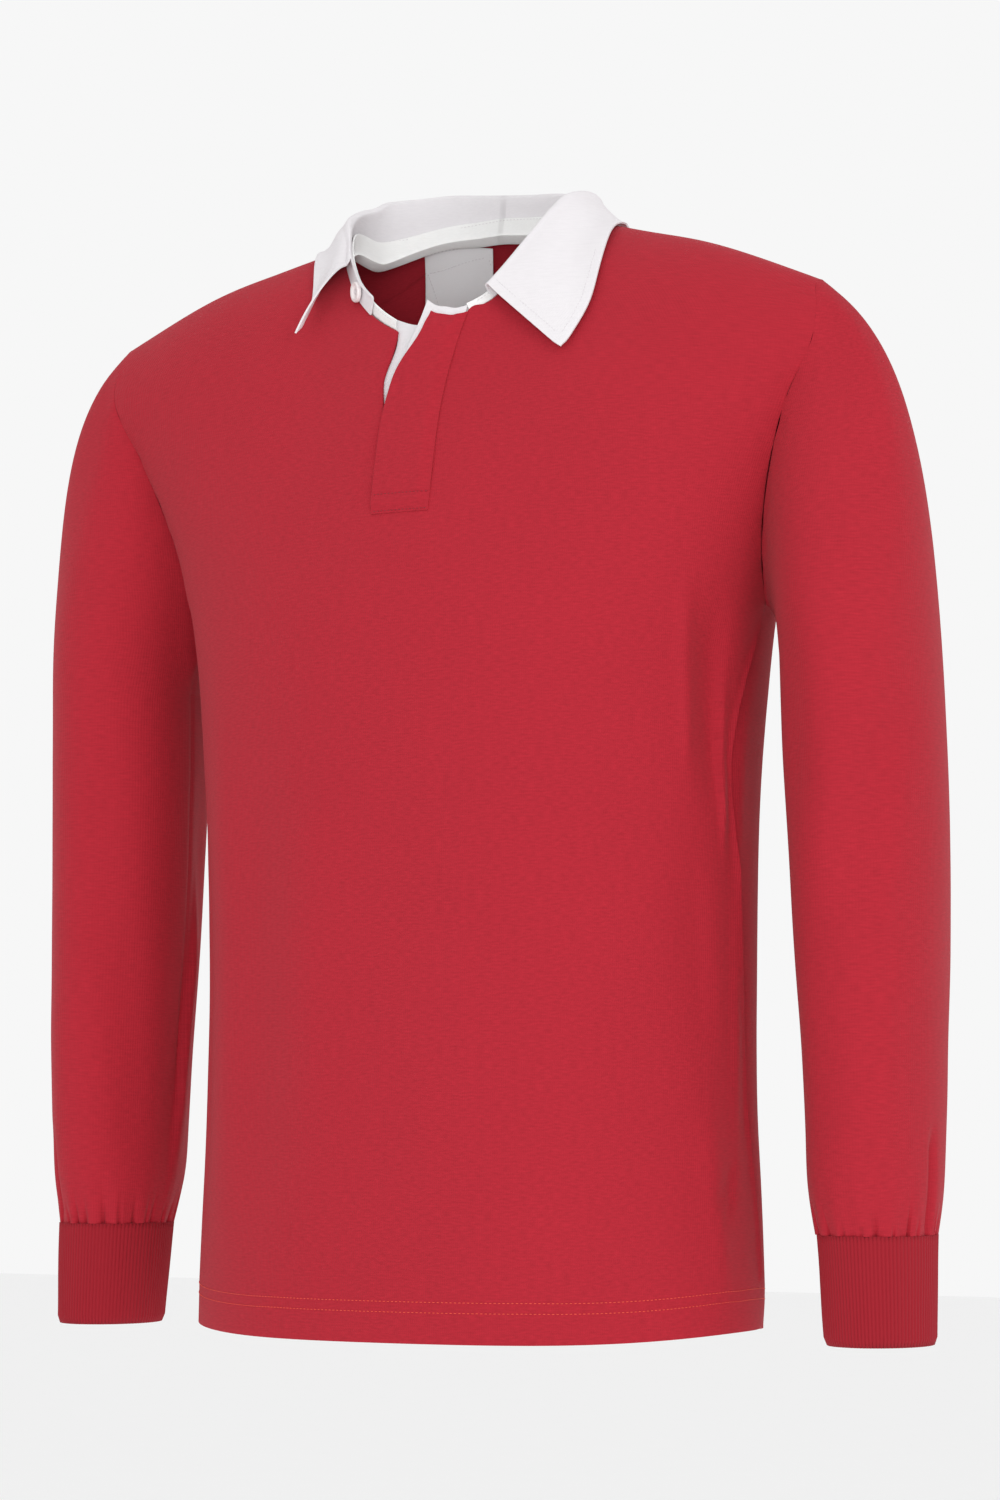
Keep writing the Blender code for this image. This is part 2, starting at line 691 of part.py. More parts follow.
def collar_point(place, along):
    """Point of the collar's visible face: the stand to 1, the fold to 2 and the leaf to 3."""
    foot, up, stand, out, edge = collar_fold(place)
    if along <= 1:
        return foot + up * (stand - FOLD_RADIUS) * along
    around = math.pi * clamp(along - 1)
    top = foot + up * (stand - FOLD_RADIUS + FOLD_RADIUS * math.sin(around)) + out * FOLD_RADIUS * (1 - math.cos(around))
    if along <= 2:
        return top
    point = hermite(along - 2, top, edge, -up * FALL_START, edge - top)
    around_neck = torso_normal(*on_torso(edge[0], edge[2], -1 if edge[1] < 0 else 1), -1 if edge[1] < 0 else 1)
    point = point + around_neck * curve(COLLAR, "neck", "bulge", place) * math.sin(math.pi * (along - 2))
    return lerp(point, keep_clear(point, LEAF_CLEARANCE), smoothstep((along - 2) * 4))


def collar_normal(place, along):
    across = collar_point(place + STEP, along) - collar_point(place - STEP, along)
    up = collar_point(place, min(3.0, along + STEP)) - collar_point(place, max(0.0, along - STEP))
    return unit(np.cross(across, up))


def build_collar():
    """One-piece collar: a stand that folds over into the fall."""
    tab = list(np.linspace(COLLAR[0].neck, LEAF_FROM, 4))
    places = tab[:-1] + neck_places(LEAF_FROM, COLLAR[-1].neck)
    alongs = [row / STAND_ROWS for row in range(STAND_ROWS)] + [1 + row / FOLD_ROWS for row in range(FOLD_ROWS)]
    alongs += [2 + row / FALL_ROWS for row in range(FALL_ROWS + 1)]
    outer, inner = [], []
    for along in alongs:
        for place in places:
            point, normal = collar_point(place, along), collar_normal(place, along)
            outer.append(point)
            inner.append(point - normal * COLLAR_CLOTH)
    last = STAND_ROWS + FOLD_ROWS // 2
    faces = grid_faces(len(alongs), len(places), kept=lambda row, column: row < last or column >= len(tab) - 1)
    wall("collar", outer, inner, faces, WHITE)


def under_neck(place, down, depth):
    """Point under the torso's face, at a distance down from the neck seam."""
    seam, _, into = neck_frame(place)
    side = neckline(place)[2]
    shift = flap_shift(seam) if place > NECK_SIDE else 0.0
    below = seam - shift - into * down
    turn, level = on_torso(below[0], below[2], side)
    point = torso(turn, level, side)
    return point + (flap_shift(point) if place > NECK_SIDE else 0.0) - torso_normal(turn, level, side) * depth


def tape_path(place):
    """Hidden face of the tape at one place, from below the seam up the stand, with the way that it faces."""
    seam, normal, into = neck_frame(place)
    under = JERSEY + TAPE_GAP
    foot, up, stand, _, _ = collar_fold(place)
    facing = unit(into - up * np.dot(into, up))
    height = min(curve(TAPE, "neck", "above", place), stand - FOLD_RADIUS)
    corner = seam + into * LAYER_OVER_ROWS - normal * under
    low = foot + facing * LAYER_OVER_ROWS
    return (under_neck(place, TAPE_BELOW, under), corner, low, low + up * height), (-normal, unit(into - normal), facing, facing)


def build_tape():
    """Tape over the neck seam's inside, which shows as a white edge beyond the collar's ends."""
    end = neck_place(SLOT_HALF_WIDTH + TAPE_END)
    places = neck_places(-end, end)
    paths = [tape_path(place) for place in places]
    hidden = [path[row] for row in range(4) for path, _ in paths]
    shown = [path[row] + facing[row] * TAPE_CLOTH for row in range(4) for path, facing in paths]
    wall("neck_tape", shown, hidden, grid_faces(4, len(places)), WHITE)


def build_label():
    """Woven label inside the back of the neck, under the tape."""
    columns, rows = 4, 4
    outer, inner = [], []
    for row in range(rows + 1):
        for column in range(columns + 1):
            x = LABEL_X + LABEL_WIDTH * (column / columns - 0.5)
            around = math.asin(abs(x) / NECK_HALF_WIDTH)
            top = curve(RIDGE, "x", "z", abs(x)) - BACK_DROP * math.cos(around) - TAPE_BELOW - 2
            turn, level = on_torso(x, top - LABEL_HEIGHT * row / rows, 1)
            point, normal = torso(turn, level, 1), torso_normal(turn, level, 1)
            hidden = point - normal * (JERSEY + LABEL_GAP)
            inner.append(hidden)
            outer.append(hidden - normal * LABEL_CLOTH)
    wall("neck_label", outer, inner, grid_faces(rows + 1, columns + 1), WHITE, flip=True)


def build_button():
    """Rubber button on the tab of the stand."""
    point = collar_point(BUTTON_PLACE, 0.5)
    outward = -collar_normal(BUTTON_PLACE, 0.5)
    mesh = bpy.data.meshes.new("button")
    disc = bmesh.new()
    bmesh.ops.create_cone(
        disc,
        cap_ends=True,
        segments=24,
        radius1=BUTTON_RADIUS * MM,
        radius2=BUTTON_RADIUS * MM,
        depth=BUTTON_HEIGHT * MM,
    )
    rims = [edge for edge in disc.edges if abs(edge.verts[0].co.z - edge.verts[1].co.z) < 1e-6]
    bmesh.ops.bevel(disc, geom=rims, offset=0.9 * MM, segments=2, affect="EDGES", profile=0.5)
    disc.to_mesh(mesh)
    disc.free()
    mesh.shade_smooth()
    button = add("button", mesh, WHITE)
    turn = Vector((0, 0, 1)).rotation_difference(Vector(outward)).to_matrix().to_4x4()
    centre = point + outward * (COLLAR_CLOTH + SEAM + BUTTON_HEIGHT / 2)
    button.matrix_world = Matrix.Translation(Vector(centre * MM)) @ turn


def main():
    for old in list(bpy.data.objects):
        bpy.data.objects.remove(old, do_unlink=True)
    build_panel("front", -1)
    build_panel("back", 1)
    for name, hand in (("left", 1), ("right", -1)):
        build_sleeve(f"sleeve_{name}", hand)
        build_cuff(f"cuff_{name}", hand)
    build_opening()
    build_collar()
    build_tape()
    build_label()
    build_button()


main()
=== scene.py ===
import math
from typing import NamedTuple

import bmesh
import bpy
import numpy as np
from bpy.props import FloatProperty, FloatVectorProperty, IntProperty, PointerProperty
from mathutils import Matrix, Vector, noise
from mathutils.bvhtree import BVHTree
from mathutils.kdtree import KDTree


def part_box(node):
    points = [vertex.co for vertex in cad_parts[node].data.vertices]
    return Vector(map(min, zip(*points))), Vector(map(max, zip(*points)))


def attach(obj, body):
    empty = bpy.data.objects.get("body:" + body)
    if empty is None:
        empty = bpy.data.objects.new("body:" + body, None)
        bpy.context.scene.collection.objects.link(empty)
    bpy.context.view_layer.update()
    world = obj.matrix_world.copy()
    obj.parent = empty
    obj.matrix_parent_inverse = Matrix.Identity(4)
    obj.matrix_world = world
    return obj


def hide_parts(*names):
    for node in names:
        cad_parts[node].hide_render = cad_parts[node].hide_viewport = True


bl_info = {
    "name": "Rugby shirt",
    "version": (1, 0, 0),
    "blender": (4, 5, 0),
    "location": "View3D > Sidebar > Shirt",
    "description": "Cloth, sewing and studio for a long-sleeved rugby shirt",
    "category": "Object",
}

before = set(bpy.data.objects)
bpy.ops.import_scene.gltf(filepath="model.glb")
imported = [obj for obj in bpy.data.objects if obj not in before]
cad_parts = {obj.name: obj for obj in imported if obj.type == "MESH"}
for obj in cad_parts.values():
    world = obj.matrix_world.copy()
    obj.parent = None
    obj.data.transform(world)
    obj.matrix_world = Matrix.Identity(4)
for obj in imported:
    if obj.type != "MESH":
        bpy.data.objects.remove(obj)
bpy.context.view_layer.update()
MM = 0.001
BODY = "root"

WELD = 0.02 * MM              # the solids' triangles meet within this
RIM_ANGLE = math.radians(50)  # a wall's cut edge turns sharper than this
RIM_WIDTH = 2.2 * MM          # and the faces that close it are narrower than this
LET_OUT = 0.3 * MM            # how far a cut edge reaches over the seam gap
FITTING_ROUNDS = 3            # rounds in which a smoothed wall is brought back to its points
ARMHOLE_DEPTH = 0.25 * MM     # how far the armhole seams are drawn in
ARMHOLE_FOOT = (-300 * MM, -240 * MM)  # levels between which an armhole gives way to the side seam
PUCKER_DEPTH = 0.7 * MM       # unevenness beside a seam
PUCKER_SIZE = 11 * MM
PUCKER_REACH = 12 * MM
FOLD_FADE = 0.35              # share of a fold's length over which it fades at each end
WAIST_HALF_WIDTH = 200 * MM   # the torso's round, used to measure along the cloth
WAIST_HALF_DEPTH = 114 * MM
TORSO_RADIUS = 165 * MM
TURNS = np.arange(-180, 361)  # degrees at which the torso's girth is measured


# ---------------------------------------------------------------- settings

def colour_setting(name, description, colour):
    return FloatVectorProperty(
        name=name, description=description, subtype="COLOR", size=3, min=0, max=1, default=colour)


def length_setting(name, description, size):
    return FloatProperty(
        name=name, description=description, subtype="DISTANCE", unit="LENGTH", default=size)


def angle_setting(name, description, degrees):
    return FloatProperty(
        name=name, description=description, subtype="ANGLE", unit="ROTATION",
        default=math.radians(degrees))


class ShirtColours(bpy.types.PropertyGroup):
    """Dyes of the cloths and threads. The tape's and the label's whites are set lighter than the collar's
    twill as painted light, to lift the shade inside the neck.
    """
    jersey: colour_setting("Jersey", "Dyed heavy jersey", (0.395, 0.0165, 0.030))
    rib: colour_setting("Rib", "Ribbed cuffs", (0.315, 0.013, 0.023))
    twill: colour_setting("Twill", "Collar and facings", (0.79, 0.765, 0.785))
    # Painted light: the tape's white is lighter than the collar's twill, to lift the shade that falls on
    # it inside the neck.
    tape: colour_setting("Tape", "Herringbone neck tape", (0.92, 0.92, 0.91))
    # Painted light: the label's white is lighter than the collar's twill, to lift the shade that falls on
    # it inside the neck.
    label: colour_setting("Label", "Woven neck label", (0.95, 0.95, 0.96))
    hem_thread: colour_setting("Hem thread", "Thread of the hem's rows", (0.80, 0.085, 0.045))
    placket_thread: colour_setting("Placket thread", "Thread of the placket's rows", (0.25, 0.012, 0.022))
    white_thread: colour_setting("White thread", "Thread on the white pieces", (0.70, 0.67, 0.69))
    button: colour_setting("Button", "Moulded shirt button", (0.86, 0.80, 0.80))


class ShirtSewing(bpy.types.PropertyGroup):
    """Sizes of the stitching and of the cuffs' ribs."""
    hem_upper: length_setting("Upper hem row", "Height of the upper row above the hem's edge", 26 * MM)
    hem_gauge: length_setting("Needle gauge", "Distance between the twin rows", 6.6 * MM)
    stitch: length_setting("Stitch", "Length from one stitch to the next", 2.6 * MM)
    thread: length_setting("Thread", "Thickness of the thread", 0.5 * MM)
    collar_row: length_setting("Collar row", "Distance of the collar's row from its edge", 6 * MM)
    ribs: IntProperty(name="Ribs", description="Ribs round a cuff", default=96, min=24)
    rib_relief: length_setting("Rib relief", "Depth between two ribs", 0.8 * MM)


class ShirtStudio(bpy.types.PropertyGroup):
    """Camera and floor."""
    azimuth: angle_setting("Azimuth", "How far round the camera stands", 26.5725)
    pitch: angle_setting("Pitch", "How far the camera looks up", 2.5804)
    distance: length_setting("Distance", "Camera's distance from the shirt's axis", 2.5226)
    aside: length_setting("Aside", "Camera's step to its own right", 13.2 * MM)
    height: length_setting("Height", "Camera's height over the origin", -0.5749)
    lens: FloatProperty(name="Lens", description="Focal length in millimetres", default=91.29)
    rise: FloatProperty(name="Rise", description="Vertical shift of the view", default=0.12)
    floor: length_setting("Floor", "Floor's height over the origin", -1.45)


class ShirtSettings(bpy.types.PropertyGroup):
    """All the shirt's settings."""
    colours: PointerProperty(type=ShirtColours)
    sewing: PointerProperty(type=ShirtSewing)
    studio: PointerProperty(type=ShirtStudio)


def settings():
    return bpy.context.scene.rugby_shirt


# ---------------------------------------------------------------- node helpers

def math_node(tree, operation, first, second=None, third=None):
    """A maths node whose inputs are numbers or other sockets."""
    node = tree.nodes.new("ShaderNodeMath")
    node.operation = operation
    for socket, value in zip(node.inputs, (first, second, third)):
        if value is None:
            continue
        if isinstance(value, (int, float)):
            socket.default_value = value
        else:
            tree.links.new(value, socket)
    return node.outputs[0]


def noise_node(tree, vector, scale, detail=2.0, roughness=0.5):
    node = tree.nodes.new("ShaderNodeTexNoise")
    node.inputs["Scale"].default_value = scale
    node.inputs["Detail"].default_value = detail
    node.inputs["Roughness"].default_value = roughness
    tree.links.new(vector, node.inputs["Vector"])
    return node.outputs["Fac"]


def cloth_coordinates(tree):
    """Distances along and across the cloth, in metres, from the piece's own map."""
    source = tree.nodes.new("ShaderNodeUVMap")
    source.uv_map = "cloth"
    parts = tree.nodes.new("ShaderNodeSeparateXYZ")
    tree.links.new(source.outputs["UV"], parts.inputs[0])
    return source.outputs["UV"], parts.outputs["X"], parts.outputs["Y"]


def new_group(name, inputs, outputs):
    """An empty node group; inputs and outputs are (name, socket type, default)."""
    group = bpy.data.node_groups.new(name, "ShaderNodeTree")
    for label, kind, default in inputs:
        socket = group.interface.new_socket(name=label, in_out="INPUT", socket_type=kind)
        if default is not None:
            socket.default_value = default
    for label, kind in outputs:
        group.interface.new_socket(name=label, in_out="OUTPUT", socket_type=kind)
    start = group.nodes.new("NodeGroupInput")
    end = group.nodes.new("NodeGroupOutput")
    return group, start.outputs, end.inputs


def knit_group(name):
    """Height of plain jersey: rows of small V-shaped stitches standing in wales."""
    group, given, result = new_group(
        name,
        [("Across", "NodeSocketFloat", None), ("Along", "NodeSocketFloat", None),
         ("Wale", "NodeSocketFloat", 0.9 * MM), ("Course", "NodeSocketFloat", 0.7 * MM)],
        [("Height", "NodeSocketFloat")])
    wales = math_node(group, "DIVIDE", given["Across"], given["Wale"])
    courses = math_node(group, "DIVIDE", given["Along"], given["Course"])
    place = math_node(group, "FRACT", wales)
    off_middle = math_node(group, "ABSOLUTE", math_node(group, "SUBTRACT", place, 0.5))
    leg = math_node(group, "MULTIPLY_ADD", off_middle, 1.3, courses)
    loops = math_node(group, "SINE", math_node(group, "MULTIPLY", leg, math.tau))
    valley = math_node(group, "SINE", math_node(group, "MULTIPLY", place, math.pi))
    height = math_node(group, "MULTIPLY_ADD", loops, 0.25, valley)
    group.links.new(height, result["Height"])
    return group


def twill_group(name):
    """Height of twill: fine slanting ridges."""
    group, given, result = new_group(
        name,
        [("Across", "NodeSocketFloat", None), ("Along", "NodeSocketFloat", None),
         ("Ridge", "NodeSocketFloat", 0.8 * MM), ("Band", "NodeSocketFloat", 1.0)],
        [("Height", "NodeSocketFloat")])
    band = math_node(group, "DIVIDE", given["Across"], given["Band"])
    turned = math_node(group, "PINGPONG", band, 0.5)
    slant = math_node(group, "MULTIPLY", turned, given["Band"])
    level = math_node(group, "ADD", math_node(group, "MULTIPLY", slant, 1.6), given["Along"])
    ridge = math_node(group, "DIVIDE", level, given["Ridge"])
    height = math_node(group, "SINE", math_node(group, "MULTIPLY", ridge, math.tau))
    group.links.new(height, result["Height"])
    return group


def heather_group(name):
    """Uneven dye and yarn: a colour made a little lighter and darker in flecks and patches."""
    group, given, result = new_group(
        name,
        [("Colour", "NodeSocketColor", None), ("Vector", "NodeSocketVector", None),
         ("Fleck", "NodeSocketFloat", 0.05), ("Patch", "NodeSocketFloat", 0.04)],
        [("Colour", "NodeSocketColor")])
    stretch = group.nodes.new("ShaderNodeMapping")
    stretch.inputs["Scale"].default_value = (0.22, 1.0, 1.0)
    group.links.new(given["Vector"], stretch.inputs["Vector"])
    fleck = noise_node(group, stretch.outputs[0], 900, 1.0)
    patch = noise_node(group, given["Vector"], 14, 3.0)
    fleck = math_node(group, "MULTIPLY", math_node(group, "SUBTRACT", fleck, 0.5), given["Fleck"])
    patch = math_node(group, "MULTIPLY", math_node(group, "SUBTRACT", patch, 0.5), given["Patch"])
    value = math_node(group, "ADD", math_node(group, "ADD", fleck, patch), 1.0)
    shade = group.nodes.new("ShaderNodeHueSaturation")
    group.links.new(given["Colour"], shade.inputs["Color"])
    group.links.new(value, shade.inputs["Value"])
    group.links.new(shade.outputs[0], result["Colour"])
    return group


GROUP_NAMES = {
    knit_group: "Knit relief",
    twill_group: "Twill relief",
    heather_group: "Yarn unevenness",
}


def shared_group(make):
    """The one copy of a node group."""
    name = GROUP_NAMES[make]
    return bpy.data.node_groups.get(name) or make(name)


def place_group(tree, make, **values):
    """Places a shared group in a material and fills its inputs with values or links."""
    node = tree.nodes.new("ShaderNodeGroup")
    node.node_tree = shared_group(make)
    for name, value in values.items():
        socket = node.inputs[name]
        if hasattr(value, "is_output"):
            tree.links.new(value, socket)
        else:
            socket.default_value = value
    return node.outputs[0]


def new_material(name):
    """A material with its node tree and its shader."""
    material = bpy.data.materials.new(name)
    material.use_nodes = True
    return material, material.node_tree, material.node_tree.nodes["Principled BSDF"]


def cloth_material(
        name, colour, relief, depth, roughness, sheen, fleck=0.05, patch=0.04, **relief_values):
    """A woven or knitted cloth with its own relief, uneven dye and a soft nap."""
    found = bpy.data.materials.get(name)
    if found:
        return found
    material, tree, shader = new_material(name)
    cloth, across, along = cloth_coordinates(tree)
    dyed = place_group(
        tree, heather_group, Colour=(*colour, 1.0), Vector=cloth, Fleck=fleck, Patch=patch)
    tree.links.new(dyed, shader.inputs["Base Color"])
    height = place_group(tree, relief, Across=across, Along=along, **relief_values)
    bump = tree.nodes.new("ShaderNodeBump")
    bump.inputs["Strength"].default_value = 0.6
    bump.inputs["Distance"].default_value = depth
    tree.links.new(height, bump.inputs["Height"])
    tree.links.new(bump.outputs["Normal"], shader.inputs["Normal"])
    shader.inputs["Roughness"].default_value = roughness
    shader.inputs["Specular IOR Level"].default_value = 0.15
    shader.inputs["Sheen Weight"].default_value = sheen
    shader.inputs["Sheen Roughness"].default_value = 0.5
    shader.inputs["Sheen Tint"].default_value = (1.0, 0.75, 0.75, 1.0)
    return material


def plain_material(name, colour, fleck, patch, roughness, coat=0.0):
    """A finish without relief, its colour a little uneven."""
    found = bpy.data.materials.get(name)
    if found:
        return found
    material, tree, shader = new_material(name)
    place = tree.nodes.new("ShaderNodeTexCoord").outputs["Object"]
    dyed = place_group(
        tree, heather_group, Colour=(*colour, 1.0), Vector=place, Fleck=fleck, Patch=patch)
    tree.links.new(dyed, shader.inputs["Base Color"])
    shader.inputs["Roughness"].default_value = roughness
    shader.inputs["Coat Weight"].default_value = coat
    return material


def jersey_material():
    return cloth_material(
        "heavy_jersey", settings().colours.jersey, knit_group, 0.2 * MM, 0.85, 0.07,
        fleck=0.42, patch=0.07, Wale=1.3 * MM, Course=1.0 * MM)


def rib_material():
    return cloth_material(
        "cuff_rib_knit", settings().colours.rib, knit_group, 0.12 * MM, 0.85, 0.06,
        Wale=1.2 * MM, Course=0.8 * MM)


def twill_material():
    return cloth_material(
        "collar_twill", settings().colours.twill, twill_group, 0.12 * MM, 0.8, 0.05,
        fleck=0.08, patch=0.03, Ridge=1.1 * MM, Band=4.0)


# The tape's colour carries painted light, lifting the shade inside the neck.
def tape_material():
    return cloth_material(
        "herringbone_tape", settings().colours.tape, twill_group, 0.2 * MM, 0.8, 0.05,
        fleck=0.08, patch=0.03, Ridge=1.4 * MM, Band=8 * MM)


# The label's colour carries painted light, lifting the shade inside the neck.
def label_material():
    return cloth_material(
        "satin_label", settings().colours.label, twill_group, 0.03 * MM, 0.45, 0.0,
        fleck=0.02, patch=0.01, Ridge=0.5 * MM, Band=4.0)


def thread_material(name):
    """Twisted sewing thread, in the colour that the settings give for its name."""
    return plain_material(name, getattr(settings().colours, name), 0.25, 0.1, 0.5)


def button_material():
    """Cloudy moulded plastic."""
    return plain_material("moulded_button", settings().colours.button, 0.02, 0.12, 0.3, coat=0.3)


def paper_material():
    """Matt pale paper of the floor."""
    return plain_material("pale_paper", (0.93, 0.93, 0.93), 0.0, 0.01, 0.95)


# ---------------------------------------------------------------- cloth helpers

def smooth_step(low, high, value):
    """Rises softly from 0 to 1 between two values. This one is for a single number."""
    share = min(max((value - low) / (high - low), 0.0), 1.0)
    return share * share * (3 - 2 * share)


def smooth_steps(low, high, values):
    """The same for an array."""
    share = np.clip((values - low) / (high - low), 0.0, 1.0)
    return share * share * (3 - 2 * share)


def object_from(name, cloth, material):
    """Links a bmesh as a smooth object and frees it."""
    mesh = bpy.data.meshes.new(name)
    cloth.to_mesh(mesh)
    cloth.free()
    mesh.shade_smooth()
    piece = bpy.data.objects.new(name, mesh)
    bpy.context.scene.collection.objects.link(piece)
    if material:
        mesh.materials.append(material)
    return piece


def finish_piece(piece, slot, *nodes):
    """Gives a piece its body and hides the nodes that it stands for; the slot is not used."""
    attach(piece, BODY)
    if nodes:
        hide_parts(*nodes)
    return piece


def quads_of(node):
    """A solid's wall with its doubles merged and its triangles paired into quads again."""
    cloth = bmesh.new()
    cloth.from_mesh(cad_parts[node].data)
    bmesh.ops.remove_doubles(cloth, verts=cloth.verts[:], dist=WELD)
    bmesh.ops.join_triangles(
        cloth, faces=cloth.faces[:], angle_face_threshold=1.2, angle_shape_threshold=3.1,
        topology_influence=1.5)
    return cloth


def sharp_edges(cloth):
    return [edge for edge in cloth.edges if edge.calc_face_angle(0.0) > RIM_ANGLE]


def narrow(face):
    return min(edge.calc_length() for edge in face.edges) < RIM_WIDTH


def rim_faces(cloth):
    """The narrow faces that close a wall along its cut edges."""
    sharp = {edge.index for edge in sharp_edges(cloth)}
    return [face for face in cloth.faces
            if sum(edge.index in sharp for edge in face.edges) >= 2
            and narrow(face)]


def let_out(cloth, reach):
    """Moves the cut edges outwards in the cloth's own plane, over the seam gap."""
    cloth.normal_update()
    cloth.edges.index_update()
    ways = {}
    for face in rim_faces(cloth):
        for vert in face.verts:
            ways[vert] = ways.get(vert, Vector()) + face.normal
    for vert, way in ways.items():
        if way.length > 0.2:
            vert.co += way.normalized() * reach


def subdivided(cloth, levels):
    """The cloth after smooth subdivision, with its cut edges kept and its own points on the surface."""
    layer = cloth.edges.layers.float.new("crease_edge")
    for edge in sharp_edges(cloth):
        edge[layer] = 1.0
    rough = object_from("rough", cloth, None)
    modifier = rough.modifiers.new("Subdivision", "SUBSURF")
    modifier.levels = modifier.render_levels = 1
    modifier.use_limit_surface = True
    wanted = mesh_points(rough.data)
    for _ in range(FITTING_ROUNDS):
        reached = mesh_points(evaluated_mesh(rough))[:len(wanted)]
        set_points(rough.data, mesh_points(rough.data) + wanted - reached)
    modifier.levels = modifier.render_levels = levels
    finer = bmesh.new()
    finer.from_mesh(evaluated_mesh(rough))
    bpy.data.objects.remove(rough)
    return finer


def evaluated_mesh(piece):
    """A piece's mesh after its modifiers."""
    bpy.context.view_layer.update()
    return piece.evaluated_get(bpy.context.evaluated_depsgraph_get()).data


def mesh_points(mesh):
    points = np.empty(len(mesh.vertices) * 3)
    mesh.vertices.foreach_get("co", points)
    return points.reshape(-1, 3)


def set_points(mesh, points):
    mesh.vertices.foreach_set("co", np.ravel(points))
    mesh.update()


def cloth_points(cloth):
    return np.array([vert.co for vert in cloth.verts])


def place_points(cloth, points):
    for vert, point in zip(cloth.verts, points):
        vert.co = point
    cloth.normal_update()


def round_rims(cloth, offset):
    """Rounds the wall's cut edges."""
    bmesh.ops.bevel(
        cloth, geom=sharp_edges(cloth), offset=offset, offset_type="OFFSET", segments=2,
        profile=0.5, affect="EDGES", clamp_overlap=True, material=-1)


def map_cloth(cloth, place):
    """Writes each corner's distances across and along the cloth to the map that materials read."""
    layer = cloth.loops.layers.uv.new("cloth")
    for face in cloth.faces:
        spots = [place(loop.vert.co) for loop in face.loops]
        for loop, spot in zip(face.loops, spots):
            loop[layer].uv = spot


def seam_depths(cloth, points, low, high, side_depth, reach):
    """How far the cloth is drawn in beside its seams between two levels, with small puckers."""
    ends = {vert for edge in sharp_edges(cloth) for vert in edge.verts if low < vert.co.z < high}
    seam = KDTree(len(ends))
    for index, vert in enumerate(ends):
        seam.insert(vert.co, index)
    seam.balance()
    away = np.array([seam.find(point)[2] for point in points])
    below = 1 - smooth_steps(*ARMHOLE_FOOT, points[:, 2])
    depth = ARMHOLE_DEPTH + (side_depth - ARMHOLE_DEPTH) * below
    pucker = np.exp(-(away / PUCKER_REACH) ** 2) * crumple(points, PUCKER_SIZE, PUCKER_DEPTH)
    return depth * np.exp(-(away / reach) ** 2) + pucker


def shell(node, levels, reach=LET_OUT):
    """A solid's wall, finely divided, with its cut edges let out."""
    cloth = quads_of(node)
    let_out(cloth, reach)
    return subdivided(cloth, levels)


class Fold(NamedTuple):
    """A soft trough, or a ridge where depth is negative. Around is in degrees, levels are in mm."""
    around: float
    level: float
    to_around: float
    to_level: float
    width: float
    depth: float
    lean: float = 1.0


def fold_depths(folds, around, level, radius):
    """How deep the folds are at places on a round of cloth, in metres. Around is in degrees."""
    total = np.zeros(len(level))
    for fold in folds:
        nearest = (around - fold.around + 180) % 360 - 180
        place = np.column_stack([np.radians(nearest) * radius, level - fold.level * MM])
        run = np.array([math.radians(fold.to_around - fold.around) * radius,
                        (fold.to_level - fold.level) * MM])
        length = math.hypot(*run)
        share = place @ run / length ** 2
        across = (place[:, 0] * run[1] - place[:, 1] * run[0]) / length
        width = np.where(across > 0, fold.width * fold.lean, fold.width) * MM
        fade = smooth_steps(0, FOLD_FADE, share) * smooth_steps(0, FOLD_FADE, 1 - share)
        total += fold.depth * MM * fade * np.exp(-(across / width) ** 2)
    return total


def crumple(points, size, depth):
    """Gentle unevenness of hanging cloth."""
    return depth * np.array([noise.noise(Vector(point) / size) for point in points])


class Drape(NamedTuple):
    """How a piece hangs: the unevenness' size and depth, the levels between which its folds fade
    towards the shoulder, and the levels between which its seams are drawn in, all in mm."""
    size: float
    depth: float
    fade_low: float
    fade_high: float
    seam_low: float
    seam_high: float


def drape_depths(cloth, points, drape, folds, turns, radius, seam):
    """How far folds, unevenness and seams draw each of a piece's points in."""
    depth = fold_depths(folds, turns, points[:, 2], radius)
    depth += crumple(points, drape.size * MM, drape.depth * MM)
    depth *= 1 - smooth_steps(drape.fade_low * MM, drape.fade_high * MM, points[:, 2])
    depth += seam_depths(cloth, points, drape.seam_low * MM, drape.seam_high * MM, *seam)
    return depth


class Push(NamedTuple):
    """A soft local move: its middle, its reach and the move, in mm."""
    x: float
    y: float
    z: float
    reach: float
    dx: float
    dy: float
    dz: float


def pushed(points, pushes):
    """The points after all the pushes."""
    for row in pushes:
        away = np.linalg.norm(points - np.array([row.x, row.y, row.z]) * MM, axis=1)
        share = np.exp(-2 * (away / (row.reach * MM)) ** 2)
        points = points + share[:, None] * np.array([row.dx, row.dy, row.dz]) * MM
    return points


def dress(node, cloth, rim, place, material, slot):
    """Rounds and maps a finished wall, and makes it the piece that stands for a node."""
    round_rims(cloth, rim)
    map_cloth(cloth, place)
    piece = object_from(f"{node}_cloth", cloth, material)
    return finish_piece(piece, slot, node)


# ---------------------------------------------------------------- body

